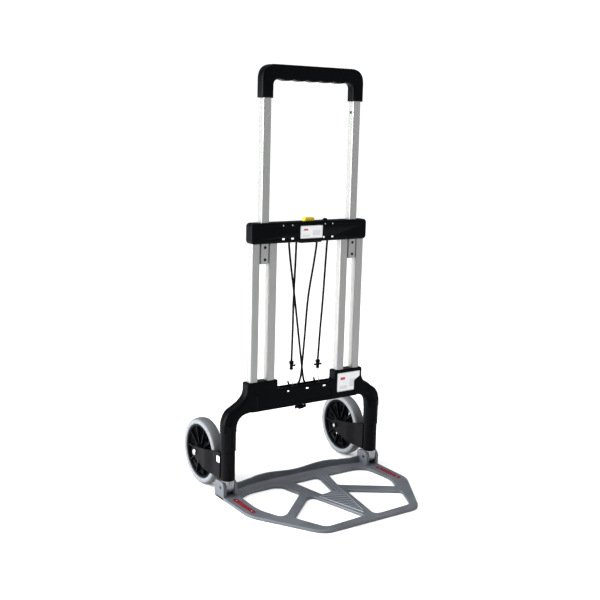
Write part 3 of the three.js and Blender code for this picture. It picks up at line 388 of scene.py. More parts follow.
def bend(start, corner, end, steps=10):
    """Points of a round corner between two straight stretches."""
    a, b, c = Vector(start), Vector(corner), Vector(end)
    return [(1 - t) ** 2 * a + 2 * t * (1 - t) * b + t * t * c for t in (k / steps for k in range(steps + 1))]


def rectangle(u0, u1, v0, v1, radius, steps=8):
    return corners([(u0, v0), (u1, v0), (u1, v1), (u0, v1)], radius, steps)


def arc(u, v, radius, start, end, steps):
    """Points of a circle about (u, v), from one angle to another."""
    angles = (start + (end - start) * k / steps for k in range(steps + 1))
    return [Vector((u + radius * math.cos(angle), v + radius * math.sin(angle))) for angle in angles]


def mirrored(half):
    """A closed outline, from its corners on the +X side."""
    return half + [(-x, *rest) for x, *rest in half[::-1]]


def area(outline):
    return sum(a.x * b.y - b.x * a.y for a, b in zip(outline, outline[1:] + outline[:1])) / 2


TURNS = {
    "z": Matrix.Identity(4),
    "y": Matrix(((1, 0, 0, 0), (0, 0, 1, 0), (0, 1, 0, 0), (0, 0, 0, 1))),
    "x": Matrix(((0, 0, 1, 0), (1, 0, 0, 0), (0, 1, 0, 0), (0, 0, 0, 1))),
}


def slab(name, outlines, axis, low, high, round_by=0.0, rings=2):
    """Fills the first outline, less the others, and pushes it from low to high along axis.

    Outlines lie in (x, y), (x, z) or (y, z). Edges are rounded by round_by."""
    curve = bpy.data.curves.new(name, "CURVE")
    curve.dimensions = "2D"
    curve.fill_mode = "BOTH"
    curve.bevel_depth = round_by
    curve.bevel_resolution = rings
    curve.extrude = (high - low) / 2 - round_by
    curve.offset = -round_by
    for i, outline in enumerate(outlines):
        points = list(outline)
        if (area(points) > 0) == (i > 0):
            points.reverse()
        spline = curve.splines.new("POLY")
        spline.points.add(len(points) - 1)
        for target, point in zip(spline.points, points):
            target.co = (point.x, point.y, 0, 1)
        spline.use_cyclic_u = True
    made = link(name, curve)
    made.matrix_world = TURNS[axis] @ Matrix.Translation((0, 0, (low + high) / 2))
    bpy.context.view_layer.update()
    made = applied(made)
    mend(made.data, weld=True)
    return made


def sweep(name, path, sections, sides=32):
    """A closed tube along path. sections holds the two half-widths at each point of the path."""
    rings = []
    side_axis = Vector((0, 1, 0))
    last = len(path) - 1
    for i, (centre, (wide, deep)) in enumerate(zip(path, sections)):
        ahead = path[min(i + 1, last)] - path[max(i - 1, 0)]
        other = side_axis.cross(ahead.normalized()).normalized()
        angles = (2 * math.pi * s / sides for s in range(sides))
        rings.append([centre + other * wide * math.cos(a) + side_axis * deep * math.sin(a) for a in angles])
    return lofted(name, rings)


def lathe(name, profile, axis, centre, sides=96):
    """Turns a profile of (radius, along) points about an axis through centre.

    A profile that starts on the axis ends on it, and any other is closed."""
    points, faces = [], []
    count = len(profile)
    spans = count if profile[0][0] > 0 else count - 1
    turn = TURNS[axis].to_3x3()
    for s in range(sides):
        angle = 2 * math.pi * s / sides
        outward, along_axis = turn @ Vector((math.cos(angle), math.sin(angle), 0)), turn @ Vector((0, 0, 1))
        points.extend(Vector(centre) + outward * radius + along_axis * along for radius, along in profile)
        t = (s + 1) % sides
        faces += [(s * count + i, s * count + (i + 1) % count, t * count + (i + 1) % count, t * count + i)
                  for i in range(spans)]
    made = from_faces(name, points, faces)
    mend(made.data, weld=True)
    return made


def rod(name, axis, centre, radius, length, sides=32, chamfer=0.0):
    end, flat, face = length / 2, length / 2 - chamfer, radius - chamfer
    profile = [(0, -end), (face, -end), (radius, -flat), (radius, flat), (face, end), (0, end)]
    return lathe(name, profile, axis, centre, sides)


def block(name, low, high):
    x, y, z = zip(low, high)
    points = [(x[i], y[j], z[k]) for i in (0, 1) for j in (0, 1) for k in (0, 1)]
    faces = [(0, 1, 3, 2), (4, 6, 7, 5), (0, 4, 5, 1), (2, 3, 7, 6), (0, 2, 6, 4), (1, 5, 7, 3)]
    return from_faces(name, points, faces)


def placed(made, centre, angle, axis):
    """Turns a piece made at the origin, then moves it to centre."""
    made.data.transform(Matrix.Translation(centre) @ Matrix.Rotation(angle, 4, axis))
    return made


def joined(name, pieces):
    """One object of several meshes, kept as they are."""
    bm = bmesh.new()
    for piece in pieces:
        piece.data.transform(piece.matrix_world)
        bm.from_mesh(piece.data)
    mesh = bpy.data.meshes.new(name)
    bm.to_mesh(mesh)
    bm.free()
    for piece in pieces:
        bpy.data.objects.remove(piece)
    return link(name, mesh)


def boolean(made, tool, operation):
    modifier = made.modifiers.new("boolean", "BOOLEAN")
    modifier.operation = operation
    modifier.solver = "EXACT"
    modifier.use_self = True
    modifier.object = tool
    bpy.context.view_layer.update()
    fresh = applied(made)
    bpy.data.objects.remove(tool)
    return fresh


def cut(made, tools):
    """Takes all the tools away from a piece at once."""
    return boolean(made, joined("tools", tools), "DIFFERENCE")


def fused(name, pieces, voxel, passes):
    """One skin over overlapping pieces, with the joins and edges softened, as in a moulding."""
    made = joined(name, pieces)
    remesh = made.modifiers.new("remesh", "REMESH")
    remesh.mode = "VOXEL"
    remesh.voxel_size = voxel
    remesh.use_smooth_shade = True
    smooth = made.modifiers.new("smooth", "SMOOTH")
    smooth.factor = 0.5
    smooth.iterations = passes
    bpy.context.view_layer.update()
    return applied(made)


def shaded(made, skin, rounding, angle=38):
    """Paints a piece, rounds its edges and smooths its shading up to angle."""
    mesh = made.data
    mesh.materials.clear()
    mesh.materials.append(skin)
    if rounding:
        bevel = made.modifiers.new("bevel", "BEVEL")
        bevel.width = rounding
        bevel.segments = 2
        bevel.limit_method = "ANGLE"
        bevel.angle_limit = math.radians(40)
    mesh.shade_smooth()
    mesh.set_sharp_from_angle(angle=math.radians(angle))
    weighted = made.modifiers.new("weighted_normal", "WEIGHTED_NORMAL")
    weighted.keep_sharp = True
    weighted.weight = 90


def finish(made, skin, body, nodes=(), angle=38, rounding=0.0):
    """Shades a finished piece and hangs it on its body, in place of its CAD nodes."""
    shaded(made, skin, rounding, angle)
    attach(made, body)
    if nodes:
        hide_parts(*nodes)
    return made


def keep(node, skin, rounding=0.0004):
    """A CAD node that stays: flat faces are merged, then its edges are rounded."""
    made = frame["nodes"][node]
    if rounding:
        flat = made.modifiers.new("flat", "DECIMATE")
        flat.decimate_type = "DISSOLVE"
        flat.angle_limit = math.radians(2)
    shaded(made, skin, rounding)


# ---- elastic cord -------------------------------------------------------------------------------

CORD_DIAMETER = 0.0056
EYE_Z = 0.342
HOOK_X = {"left": -0.042, "right": 0.043}
HOOK_FOOT_X = {"left": -0.035, "right": 0.050}
HOOK_ARMS = {"left": (0.0125,), "right": (0.0125, -0.0115)}

CORD_LEFT = [
    (-0.042, 0, EYE_Z), (-0.040, 0.001, 0.420), (-0.038, 0.0032, 0.505), (-0.0365, 0.001, 0.600),
    (-0.036, 0, 0.645), (-0.036, 0, 0.656), (-0.0375, 0, 0.668), (-0.047, 0, 0.673),
    (-0.0565, 0, 0.668), (-0.058, 0, 0.656), (-0.0575, 0, 0.645), (-0.052, -0.001, 0.600),
    (-0.038, -0.0032, 0.505), (-0.020, -0.0032, 0.385), (-0.006, -0.0032, 0.296), (0.003, -0.001, 0.274),
    (0.004, 0, 0.262), (0.004, 0, 0.235), (0.003, 0, 0.216),
]
CORD_RIGHT = [
    (-0.021, 0, 0.216), (-0.022, 0, 0.235), (-0.022, 0, 0.262), (-0.020, 0.001, 0.274),
    (-0.009, 0.0032, 0.296), (-0.001, 0.0032, 0.385), (0.007, 0.002, 0.505), (0.022, 0.001, 0.600),
    (0.028, 0, 0.645), (0.028, 0, 0.656), (0.0305, 0, 0.667), (0.045, 0, 0.6735),
    (0.060, 0, 0.667), (0.062, 0, 0.656), (0.0615, 0, 0.645), (0.059, 0, 0.600),
    (0.054, 0, 0.505), (0.048, 0, 0.420), (0.043, 0, EYE_Z - 0.006),
]


def smooth_route(points, steps=8):
    """Catmull-Rom points along a route."""
    route = [Vector(p) for p in points]
    padded = [2 * route[0] - route[1]] + route + [2 * route[-1] - route[-2]]
    line = []
    for a, b, c, d in zip(padded, padded[1:], padded[2:], padded[3:]):
        for step in range(steps):
            t = step / steps
            line.append(0.5 * ((2 * b) + (c - a) * t + (2 * a - 5 * b + 4 * c - d) * t * t
                               + (3 * b - a - 3 * c + d) * t ** 3))
    return line + [route[-1]]


def wire(name, line, radius, rings=5):
    curve = bpy.data.curves.new(name, "CURVE")
    curve.dimensions = "3D"
    curve.bevel_depth = radius
    curve.bevel_resolution = rings
    curve.use_fill_caps = True
    spline = curve.splines.new("POLY")
    spline.points.add(len(line) - 1)
    for target, point in zip(spline.points, line):
        target.co = (*point, 1)
    spline.use_smooth = True
    return link(name, curve)


def make_knot():
    """Two overhand turns pulled tight under the crossmember."""
    low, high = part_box("cord_knot")
    middle, half = (low + high) / 2, (high - low) / 2
    strand = CORD_DIAMETER / 2
    turns = []
    for centre, flip in ((-0.45, 1), (0.4, -1)):
        loop = []
        for step in range(49):
            angle = 2 * math.pi * step / 48
            loop.append(middle + Vector((centre * half.x + (half.x * 0.5 - strand) * math.sin(angle) * flip,
                                         (half.y - strand) * math.cos(angle),
                                         (half.z - strand) * 0.8 * math.sin(2 * angle + centre))))
        turns.append(applied(wire("turn", loop, strand)))
    core = lathe("core", [(0, -half.x * 0.8), (half.z * 0.5, -half.x * 0.6), (half.z * 0.72, 0),
                          (half.z * 0.5, half.x * 0.6), (0, half.x * 0.8)], "x", middle, 24)
    return fused("cord_knot_tied", turns + [core], 0.0006, 2)


def make_hook(name):
    """Moulded hook: a waisted socket that grips the cord, and one or two blunt arms."""
    low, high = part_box(f"cord_hook_{name}")
    x, top, bottom = HOOK_X[name], high.z, low.z
    profile = [(0, top), (0.0048, top), (0.0064, top - 0.002), (0.0062, top - 0.007), (0.0046, top - 0.010),
               (0.0044, bottom + 0.005), (0.0052, bottom + 0.002), (0.0040, bottom), (0, bottom)]
    pieces = [lathe("socket", profile, "z", (x, 0, 0), 32)]
    for reach in HOOK_ARMS[name]:
        tip = x + reach
        line = smooth_route([(x, 0, bottom + 0.0125), (x + reach * 0.5, 0, bottom + 0.011),
                             (tip - math.copysign(0.002, reach), 0, bottom + 0.0105),
                             (tip - math.copysign(0.0015, reach), 0, bottom + 0.0135)], 6)
        pieces.append(applied(wire("arm", line, 0.0024)))
    return fused(f"cord_hook_{name}_moulded", pieces, 0.0006, 3)


def make_cords():
    knot = finish(make_knot(), CORD, "frame", ["cord_knot"])
    hooks = {side: finish(make_hook(side), BLACK, "frame", [f"cord_hook_{side}"])
             for side in HOOK_X}
    for side, route in (("left", CORD_LEFT[::-1]), ("right", CORD_RIGHT)):
        line = smooth_route(route)
        cord = wire(f"elastic_cord_{side}", line, CORD_DIAMETER / 2)
        cord.data.materials.append(CORD)
        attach(cord, "frame")
        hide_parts(f"cord_{side}")
        low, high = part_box(f"wire_hook_{side}")
        top_x, foot_x = HOOK_X[side], HOOK_FOOT_X[side]
        shank = smooth_route([(top_x, 0, high.z), ((top_x + foot_x) / 2, 0, (high.z + low.z) / 2),
                              (foot_x, 0, low.z + 0.0003)])
        hook_wire = applied(wire(f"hook_wire_{side}", shank, 0.0011))
        finish(hook_wire, STEEL, "frame", [f"wire_hook_{side}"])


make_cords()


# ---- handle -------------------------------------------------------------------------------------

def make_grip():
    """U-shaped grip with rounded shoulders and finger lobes along its underside."""
    outer, inner = GRIP_HIGH.x, TUBE_LOW.x - 0.004
    top, bottom, half = GRIP_HIGH.z, GRIP_LOW.z, GRIP_HIGH.y
    underside, shoulder = 1.064, 0.038
    lobes, drop, steps = 5, 0.0032, 10
    span = 2 * (inner - 0.022)
    outline = [Vector((-outer, bottom)), Vector((-inner, bottom))]
    outline += bend((-inner, underside - 0.016), (-inner, underside), (-inner + 0.018, underside))
    for i in range(lobes * steps + 1):
        x = -span / 2 + span * i / (lobes * steps)
        outline.append(Vector((x, underside - drop * abs(math.sin(math.pi * i / steps)))))
    outline += bend((inner - 0.018, underside), (inner, underside), (inner, underside - 0.016))
    outline += [Vector((inner, bottom)), Vector((outer, bottom))]
    outline += bend((outer, top - shoulder), (outer, top), (outer - shoulder, top), 16)
    outline += bend((-outer + shoulder, top), (-outer, top), (-outer, top - shoulder), 16)
    grip = slab("handle_moulding", [outline], "y", -half, half, 0.006, 5)
    tools = [block("socket", (x - TUBE_ROOM, -TUBE_ROOM, bottom - 0.01),
                   (x + TUBE_ROOM, TUBE_ROOM, underside + 0.0163)) for x in (-TUBE_X, TUBE_X)]
    finish(cut(grip, tools), GRIP, "handle", ["handle_grip"])


def make_profile(name, node, body, radius, holes):
    """A hollow drawn profile, with rounded corners inside and out."""
    low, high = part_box(node)
    wall = 0.0018
    outer = rectangle(low.x, high.x, low.y, high.y, radius, 10)
    inner = rectangle(low.x + wall, high.x - wall, low.y + wall, high.y - wall, radius * 0.6, 6)
    made = slab(name, [outer, inner], "z", low.z, high.z, 0.0003, 1)
    if holes:
        made = cut(made, holes)
    finish(made, ALUMINIUM, body, [node])


def make_profiles():
    for name, sign in SIDES:
        for where in ("inner", "outer"):
            node = f"rail_{name}_{where}"
            low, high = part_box(node)
            centre = ((low.x + high.x) / 2, 0, LATCH_Z)
            holes = [rod("hole", "x", centre, 0.0041, 0.03)] if where == "inner" else []
            make_profile(f"profile_{name}_{where}", node, "frame", 0.0052, holes)
        node = f"tube_{name}"
        low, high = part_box(node)
        middle = (low.x + high.x) / 2
        face = middle - sign * (high.x - low.x) / 2
        holes = [rod("hole", "x", (face, 0, z), 0.0041, 0.01) for z in (LATCH_Z, LATCH_Z + HANDLE_TRAVEL)]
        holes += [rod("hole", "y", (middle, low.y, low.z + up), 0.004, 0.008) for up in (0.011, 0.042)]
        make_profile(f"telescopic_tube_{name}", node, "handle", 0.0038, holes)


# ---- cuts shared by the crossbar and the bracket ------------------------------------------------

def rail_sockets(sign, radius, low, high):
    """Tools that leave room for both rails of one side."""
    tools = []
    for box_low, box_high in (RAIL_INNER, RAIL_OUTER):
        x = sign * (box_low.x + box_high.x) / 2
        wide = (box_high.x - box_low.x) / 2 + FIT
        tools.append(slab("socket", [rectangle(x - wide, x + wide, -wide, wide, radius)], "z", low, high))
    return tools


def slanted_hole(name, outline, front, slant, drop):
    """A through hole that moves sideways by slant, and down by drop, for each metre behind the front face."""
    hole = slab(name, [outline], "y", -0.03, 0.03)
    for vertex in hole.data.vertices:
        behind = vertex.co.y + front
        vertex.co.x += slant * behind
        vertex.co.z -= drop * behind
    return hole


# ---- crossbar -----------------------------------------------------------------------------------

BAR_BOTTOM = 0.658
SCREW_X = (-0.087, -0.059, 0.043, 0.067)
PEEP_X = (-0.087, -0.059, 0.039, 0.067)


def make_crossbar():
    """One bar, hollowed for rails, tubes, cords and button, then split into a front and a rear shell."""
    half_length, half_depth = BAR_HIGH.x, -BAR_LOW.y
    high, lip = BAR_HIGH.z, BAR_LOW.z
    bar = rectangle(-half_length, half_length, BAR_BOTTOM, high, 0.011, 10)
    bar = slab("bar", [bar], "y", -half_depth, half_depth, 0.006, 5)
    outline = corners(mirrored([(0.034, lip, 0.003), (0.040, BAR_BOTTOM + 0.008)]))
    lip_depth = half_depth - 0.003
    bar = boolean(bar, slab("lip", [outline], "y", -lip_depth, lip_depth, 0.001, 2), "UNION")
    tools = []
    for sign in SIGNS:
        x, room = sign * TUBE_X, TUBE_ROOM + FIT
        outline = rectangle(x - room, x + room, -room, room, 0.003)
        tools.append(slab("passage", [outline], "z", BAR_BOTTOM - 0.01, high + 0.01))
        tools += rail_sockets(sign, 0.005, BAR_BOTTOM - 0.01, RAIL_INNER[1].z + FIT)
    for left, right in ((-0.0632, -0.0308), (0.0228, 0.0672)):
        tools.append(block("eye", (left, -0.0036, lip - 0.01), (right, 0.0036, BAR_BOTTOM + 0.020)))
    for x in PEEP_X:
        outline = rectangle(x - 0.0040, x + 0.0040, 0.6666, 0.6712, 0.0020)
        tools.append(slanted_hole("peep", outline, half_depth, 0.66, 0.145))
    tools.append(slab("shaft", [rectangle(-0.0156, 0.0156, -0.0081, 0.0081, 0.004)], "z", BAR_BOTTOM + 0.030,
                      high + 0.01))
    bar = cut(bar, tools)
    seam = 0.00025
    front = boolean(duplicate(bar), block("keep", (-1, -1, 0), (1, -seam, 2)), "INTERSECT")
    rear = boolean(bar, block("keep", (-1, seam, 0), (1, 1, 2)), "INTERSECT")
    low_c, high_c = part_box("crossbar_cover")
    recess = rectangle(low_c.x - FIT, high_c.x + FIT, low_c.z - FIT, high_c.z + FIT, 0.004)
    recess = slab("recess", [recess], "y", -half_depth - 0.01, -half_depth + 0.004)
    screw_places = [(x, -half_depth, high - 0.0085) for x in SCREW_X]
    seats = [rod("screw_seat", "y", place, 0.0026, 0.004, 24) for place in screw_places]
    front = cut(front, [recess] + seats)
    front.name = "crossbar_front_shell"
    rear.name = "crossbar_rear_shell"
    finish(front, BLACK, "frame", ["crossbar_front"], rounding=0.0003)
    finish(rear, BLACK, "frame", ["crossbar_rear"], rounding=0.0003)

    screws = [rod("screw", "y", (x, y + 0.0012, z), 0.0022, 0.001, 24, 0.0003) for x, y, z in screw_places]
    finish(joined("crossbar_screws", screws), STEEL, "frame")

    outline = rectangle(low_c.x, high_c.x, low_c.z, high_c.z, 0.004)
    cover = slab("crossbar_cover_panel", [outline], "y", low_c.y, high_c.y, 0.0008, 2)
    finish(cover, BLACK, "frame", ["crossbar_cover"])

    dome = [(0, 0), (0.0062, 0), (0.0066, 0.001), (0.0064, 0.0034), (0.0048, 0.0052), (0.002, 0.0060),
            (0, 0.0061)]
    knob = lathe("crossbar_knob", dome, "z", (0.050, -0.004, high - 0.0006), 40)
    finish(knob, BLACK, "frame")


def make_button():
    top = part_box("release_button")[1].z
    half = 0.015
    outline = corners(mirrored([(half, 0.700), (half, top, 0.005)]))
    cap = slab("cap", [outline], "y", -0.0075, 0.0075, 0.0020, 4)
    ribs = [block("rib", (x - 0.0006, -0.0056, top - 0.0006), (x + 0.0006, 0.0056, top - 0.0001))
            for x in (-0.009, -0.006, -0.003, 0, 0.003, 0.006, 0.009)]
    button = cut(cap, ribs)
    button.name = "release_button_cap"
    finish(button, YELLOW, "release_button", ["release_button"], rounding=0.0002)


# ---- lower bracket ------------------------------------------------------------------------------

MEMBER_TOP = 0.275
MEMBER_BOTTOM = 0.221
COLLAR_BORE = 0.0133
TOWER_INNER = RAIL_INNER[0].x - 0.008
TOWER_OUTER = RAIL_OUTER[1].x + 0.009

# Edges of an arm in x and z: over the shoulder, and inside the bend.
SHOULDER = [(0.1835, 0.290), (0.1855, 0.280), (0.1885, 0.270), (0.1945, 0.261), (0.2040, 0.2525),
            (0.2150, 0.2455), (0.2265, 0.2395), (0.2365, 0.2325), (0.2440, 0.2225), (0.2490, 0.2100),
            (0.2515, 0.1960), (0.2518, 0.1760)]
CROOK = [(0.2125, 0.186), (0.2110, 0.196), (0.2065, 0.2065), (0.1990, 0.2140), (0.1890, 0.2185),
         (0.1760, MEMBER_BOTTOM)]


def make_bracket():
    """One moulding: towers and crossmember, arms that bend down and turn round, and the collars."""
    half = 0.015
    pieces = []
    outline = mirrored([
        (0.168, MEMBER_BOTTOM, 0), (0.180, MEMBER_BOTTOM + 0.020, 0.010),
        (TOWER_OUTER, MEMBER_TOP - 0.015, 0.004), (TOWER_OUTER, TOWER_TOP, 0.004),
        (TOWER_INNER, TOWER_TOP, 0.004), (TOWER_INNER, MEMBER_TOP, 0.003)])
    pieces.append(slab("towers", [corners(outline, 0, 10)], "y", -half, half, 0.003, 3))
    for sign in SIGNS:
        shoulder = smooth_route([(sign * x, z, 0) for x, z in SHOULDER], 5)
        crook = smooth_route([(sign * x, z, 0) for x, z in CROOK], 5)
        outline = [p.xy for p in shoulder] + [Vector((sign * 0.212, 0.176))] + [p.xy for p in crook]
        outline += [Vector((sign * 0.150, MEMBER_BOTTOM)), Vector((sign * 0.150, 0.270))]
        pieces.append(slab("shoulder", [outline], "y", -half - 0.0015, half + 0.0015, 0.009, 4))
    for sign in SIGNS:
        path = smooth_route([
            (sign * 0.178, 0, 0.2440), (sign * 0.196, 0, 0.2375),
            (sign * 0.212, 0, 0.2265), (sign * 0.2245, 0, 0.2115), (sign * 0.2305, 0, 0.196),
            (sign * POST_X, 0, 0.178), (sign * POST_X, 0, 0.150), (sign * POST_X, 0, 0.132)], 6)
        sections = []
        for point in path:
            run = min(1, max(0, (abs(point.x) - 0.178) / 0.040))
            down = min(1, max(0, (0.2445 - point.z) / 0.05))
            sections.append((0.0205 - 0.0010 * down, 0.0148 + 0.0047 * max(run * 0.7, down)))
        pieces.append(sweep("arm", path, sections, 40))
    body = fused("bracket", pieces, 0.0014, 9)
    tools = []
    for sign in SIGNS:
        tools += rail_sockets(sign, 0.0054, RAIL_INNER[0].z - FIT, TOWER_TOP + 0.01)
        x = sign * TUBE_X
        tools.append(block("pad_slot", (x - 0.0125, -0.008, TOWER_TOP - 0.012),
                           (x + 0.0125, 0.008, TOWER_TOP + 0.01)))
        tools.append(rod("bore", "z", (sign * POST_X, 0, 0.150), COLLAR_BORE, 0.08, 48))
    for x in (-0.022, 0.004):
        tools.append(rod("cord_hole", "z", (x, 0, 0.25), 0.0038, 0.09, 32))
    for x in (-0.058, 0.001, 0.057):
        outline = rectangle(x - 0.0048, x + 0.0048, MEMBER_TOP - 0.012, MEMBER_TOP - 0.008, 0.0018)
        tools.append(slanted_hole("drain", outline, half, 0.66, 0.33))
    trough, panel = TOWER_INNER - 0.012, TOWER_INNER - 0.010
    trough = [rectangle(-trough, trough, -0.0075, 0.0075, 0.005)]
    tools.append(slab("trough", trough, "z", MEMBER_TOP - 0.013, MEMBER_TOP + 0.01))
    panel = [rectangle(-panel, panel, MEMBER_BOTTOM + 0.010, MEMBER_TOP - 0.018, 0.004)]
    tools.append(slab("panel_front", panel, "y", -0.03, -half + 0.0012))
    tools.append(slab("panel_rear", panel, "y", half - 0.0012, 0.03))
    body = cut(body, tools)
    extras = []
    for foot, tip in ((-0.046, -0.052), (0.036, 0.031)):
        line = smooth_route([(foot + 0.002, 0, MEMBER_TOP - 0.018), (foot, 0, MEMBER_TOP - 0.004),
                             (tip, 0, MEMBER_TOP + 0.012)])
        extras.append(applied(wire("peg", line, 0.0026)))
    for sign in SIGNS:
        x = sign * POST_X
        collar = [(COLLAR_BORE, 0.127), (0.0200, 0.127), (0.0207, 0.1277), (0.0207, 0.1935), (0.0200, 0.195),
                  (COLLAR_BORE, 0.195)]
        extras.append(lathe("collar", collar, "z", (x, 0, 0), 64))
        lug = rectangle(x - 0.006, x + 0.006, -0.0215, -0.014, 0.002)
        extras.append(slab("collar_lug", [lug], "z", 0.137, 0.187, 0.0008, 1))
    bracket = joined("bracket_moulding", [body] + extras)
    finish(bracket, BLACK, "frame", ["lower_bracket"])


# ---- forks --------------------------------------------------------------------------------------

FORK_GAP = 0.0236
FORK_WALL = 0.0045
ARM_START = 0.006
ARM_END_REACH = 0.0145


def fork_arm(side):
    """One arm: level with the sleeve in front, flared out past the wheel, rounded off behind the axle."""
    rings = []
    stations = 40
    for i in range(stations + 1):
        y = ARM_START + (AXLE_Y + ARM_END_REACH - ARM_START) * i / stations
        t = min(1, max(0, (y - 0.040) / 0.038))
        ease = t * t * (3 - 2 * t)
        outer = 0.0212 + (FORK_GAP + FORK_WALL - 0.0212) * ease
        past = max(0, y - (AXLE_Y - 0.002)) / 0.0165
        round_off = math.sqrt(max(0, 1 - min(1, past) ** 2))
        along = min(1, (y - ARM_START) / (AXLE_Y - ARM_START))
        top = 0.1235 + (AXLE_Z + 0.0150 - 0.1235) * along
        fall = min(1, max(0, (y - 0.050) / (AXLE_Y - 0.050)))
        bottom = 0.0515 + 0.0035 * along + (AXLE_Z - 0.0150 - 0.0550) * fall ** 1.4
        top = AXLE_Z + (top - AXLE_Z) * round_off + 0.0008 * (1 - round_off)
        bottom = AXLE_Z + (bottom - AXLE_Z) * round_off - 0.0008 * (1 - round_off)
        near, far = side * (outer - FORK_WALL), side * outer
        rings.append([(near, y, bottom), (near, y, top), (far, y, top), (far, y, bottom)])
    return lofted("arm", rings)


def make_fork(name, sign):
    """Sleeve on the post and two flared arms out to the axle."""
    sleeve_low, sleeve_high = SLEEVE_BOTTOM, 0.1264
    arms = [fork_arm(side) for side in SIGNS]
    sleeve = [(0.0136, sleeve_low), (0.0184, sleeve_low), (0.0190, sleeve_low + 0.0007),
              (0.0190, sleeve_high - 0.0007), (0.0184, sleeve_high), (0.0136, sleeve_high)]
    sleeve = lathe("sleeve", sleeve, "z", (0, 0, 0), 64)
    web = rectangle(-0.0150, 0.0150, 0.0140, 0.0258, 0.002)
    web = slab("web", [web], "z", sleeve_low + 0.004, 0.121, 0.0006, 1)
    rib = slab("rib", [rectangle(-0.0175, 0.0175, 0.030, 0.033, 0.001)], "z", sleeve_low + 0.016, 0.110)
    boss_x = FORK_GAP + FORK_WALL - 0.0003
    bosses = [rod("boss", "x", (side * boss_x, AXLE_Y, AXLE_Z), 0.0102, 0.0010, 48, 0.0004) for side in SIGNS]
    fork = joined(f"fork_moulding_{name}", arms + [sleeve, web, rib] + bosses)
    fork.data.transform(Matrix.Translation((sign * POST_X, 0, 0)))
    finish(fork, FORK, f"fork_{name}", [f"fork_{name}"], rounding=0.0009, angle=42)

    outside = sign * POST_X - (FORK_GAP + FORK_WALL + 0.0004)
    dome = [(0, -0.0016), (0.0026, -0.0014), (0.0034, -0.0006), (0.0035, 0.0008), (0, 0.0008)]
    stud = lathe(f"fork_stud_{name}", dome, "x", (outside, AXLE_Y - 0.020, AXLE_Z - 0.021), 32)
    finish(stud, DARK_STEEL_AND_PIN_SHADE, f"fork_{name}")


def make_fork_label():
    """A small blank sticker on the outside of the left fork's arm."""
    x = -POST_X - 0.0214
    outline = rectangle(0.0055, 0.0200, 0.096, 0.112, 0.0008)
    label = slab("fork_sticker", [outline], "x", x - 0.0004, x, 0.0001, 1)
    skin = Skin("sticker_film")
    skin.colour(skin.ramp(skin.noise(500), (0.66, 0.68, 0.74), (0.8, 0.8, 0.82)))
    skin.roughness(skin.noise(90), 0.3, 0.45)
    finish(label, skin.made, "fork_left")


# ---- wheels -------------------------------------------------------------------------------------

SLOTS = 10


def make_wheel(name, sign):
    """Tyre with a ring on each sidewall, and a hub of SLOTS openings with a thin rib between each two."""
    centre = (sign * POST_X, AXLE_Y, AXLE_Z)
    half, r = WHEEL_WIDTH / 2, WHEEL_RADIUS
    rim = 0.073
    round_by = 0.0062
    tyre = [(rim, -half + 0.003), (rim + 0.001, -half + 0.0012), (rim + 0.003, -half),
            (rim + 0.0045, -half + 0.0006), (rim + 0.0058, -half)]
    for i in range(13):
        angle = math.pi / 2 * i / 12
        tyre.append((r - 0.0085 + 0.0072 * math.sin(angle), -half + round_by * (1 - math.cos(angle))))
    sidewall = tyre[:]
    for i in range(13):
        across = -half + round_by + 2 * (half - round_by) * i / 12
        tyre.append((r - 0.0013 * (across / (half - round_by)) ** 2, across))
    tyre += [(radius, -across) for radius, across in sidewall[::-1]]
    tyre = lathe(f"tyre_{name}_moulded", tyre, "x", centre, 160)
    finish(tyre, RUBBER, f"wheel_{name}", [f"tyre_{name}"], angle=55)

    outer = rim - 0.0003
    hub_half = (HUB_HIGH.x - HUB_LOW.x) / 2
    rim_half = half - 0.0036
    hub = [(0.0093, -hub_half), (0.0170, -hub_half), (0.0178, -hub_half + 0.0008), (0.0190, -0.0092),
           (0.0215, -0.0065), (rim - 0.012, -0.0042), (rim - 0.0078, -0.0065),
           (rim - 0.0060, -rim_half + 0.0008), (rim - 0.0052, -rim_half), (outer, -rim_half)]
    hub = lathe("hub", hub + [(radius, -across) for radius, across in hub[::-1]], "x", centre, 160)
    slot = rectangle(0.036, rim - 0.015, -0.0055, 0.0055, 0.0055)
    slots, ribs = [], []
    for i in range(SLOTS):
        tool = slab("slot", [slot], "x", -0.04, 0.04)
        slots.append(placed(tool, centre, (i + 0.5) / SLOTS * 2 * math.pi, "X"))
    for i in range(SLOTS):
        for low, high in ((-0.0125, -0.0035), (0.0035, 0.0125)):
            rib = block("rib", (low, 0.0175, -0.0014), (high, rim - 0.0062, 0.0014))
            ribs.append(placed(rib, centre, i / SLOTS * 2 * math.pi, "X"))
    hub = joined(f"hub_{name}_moulded", [cut(hub, slots)] + ribs)
    finish(hub, BLACK, f"wheel_{name}", [f"hub_{name}"], rounding=0.0005)


# ---- toe plate ----------------------------------------------------------------------------------

OPENINGS = [
    [(-0.210, -0.032, 0.010), (-0.174, -0.013, 0.024), (-0.096, -0.011, 0.018), (-0.077, -0.024, 0.008),
     (-0.064, -0.088, 0.006), (-0.170, -0.185, 0.014), (-0.188, -0.187, 0.012), (-0.214, -0.124, 0.030)],
    [(-0.037, -0.013, 0.006), (0.040, -0.012, 0.005), (0.045, -0.024, 0.008), (0.020, -0.117, 0.006),
     (-0.018, -0.124, 0.006)],
    [(0.080, -0.012, 0.005), (0.176, -0.013, 0.020), (0.204, -0.034, 0.024), (0.212, -0.122, 0.022),
     (0.188, -0.178, 0.008), (0.057, -0.090, 0.006)],
    [(0.054, -0.130, 0.004), (0.178, -0.212, 0.010), (0.142, -0.289, 0.016), (0.022, -0.294, 0.020)],
    [(-0.163, -0.212, 0.008), (-0.064, -0.123, 0.012), (-0.045, -0.122, 0.010), (-0.005, -0.287, 0.008),
     (-0.126, -0.294, 0.016)],
]
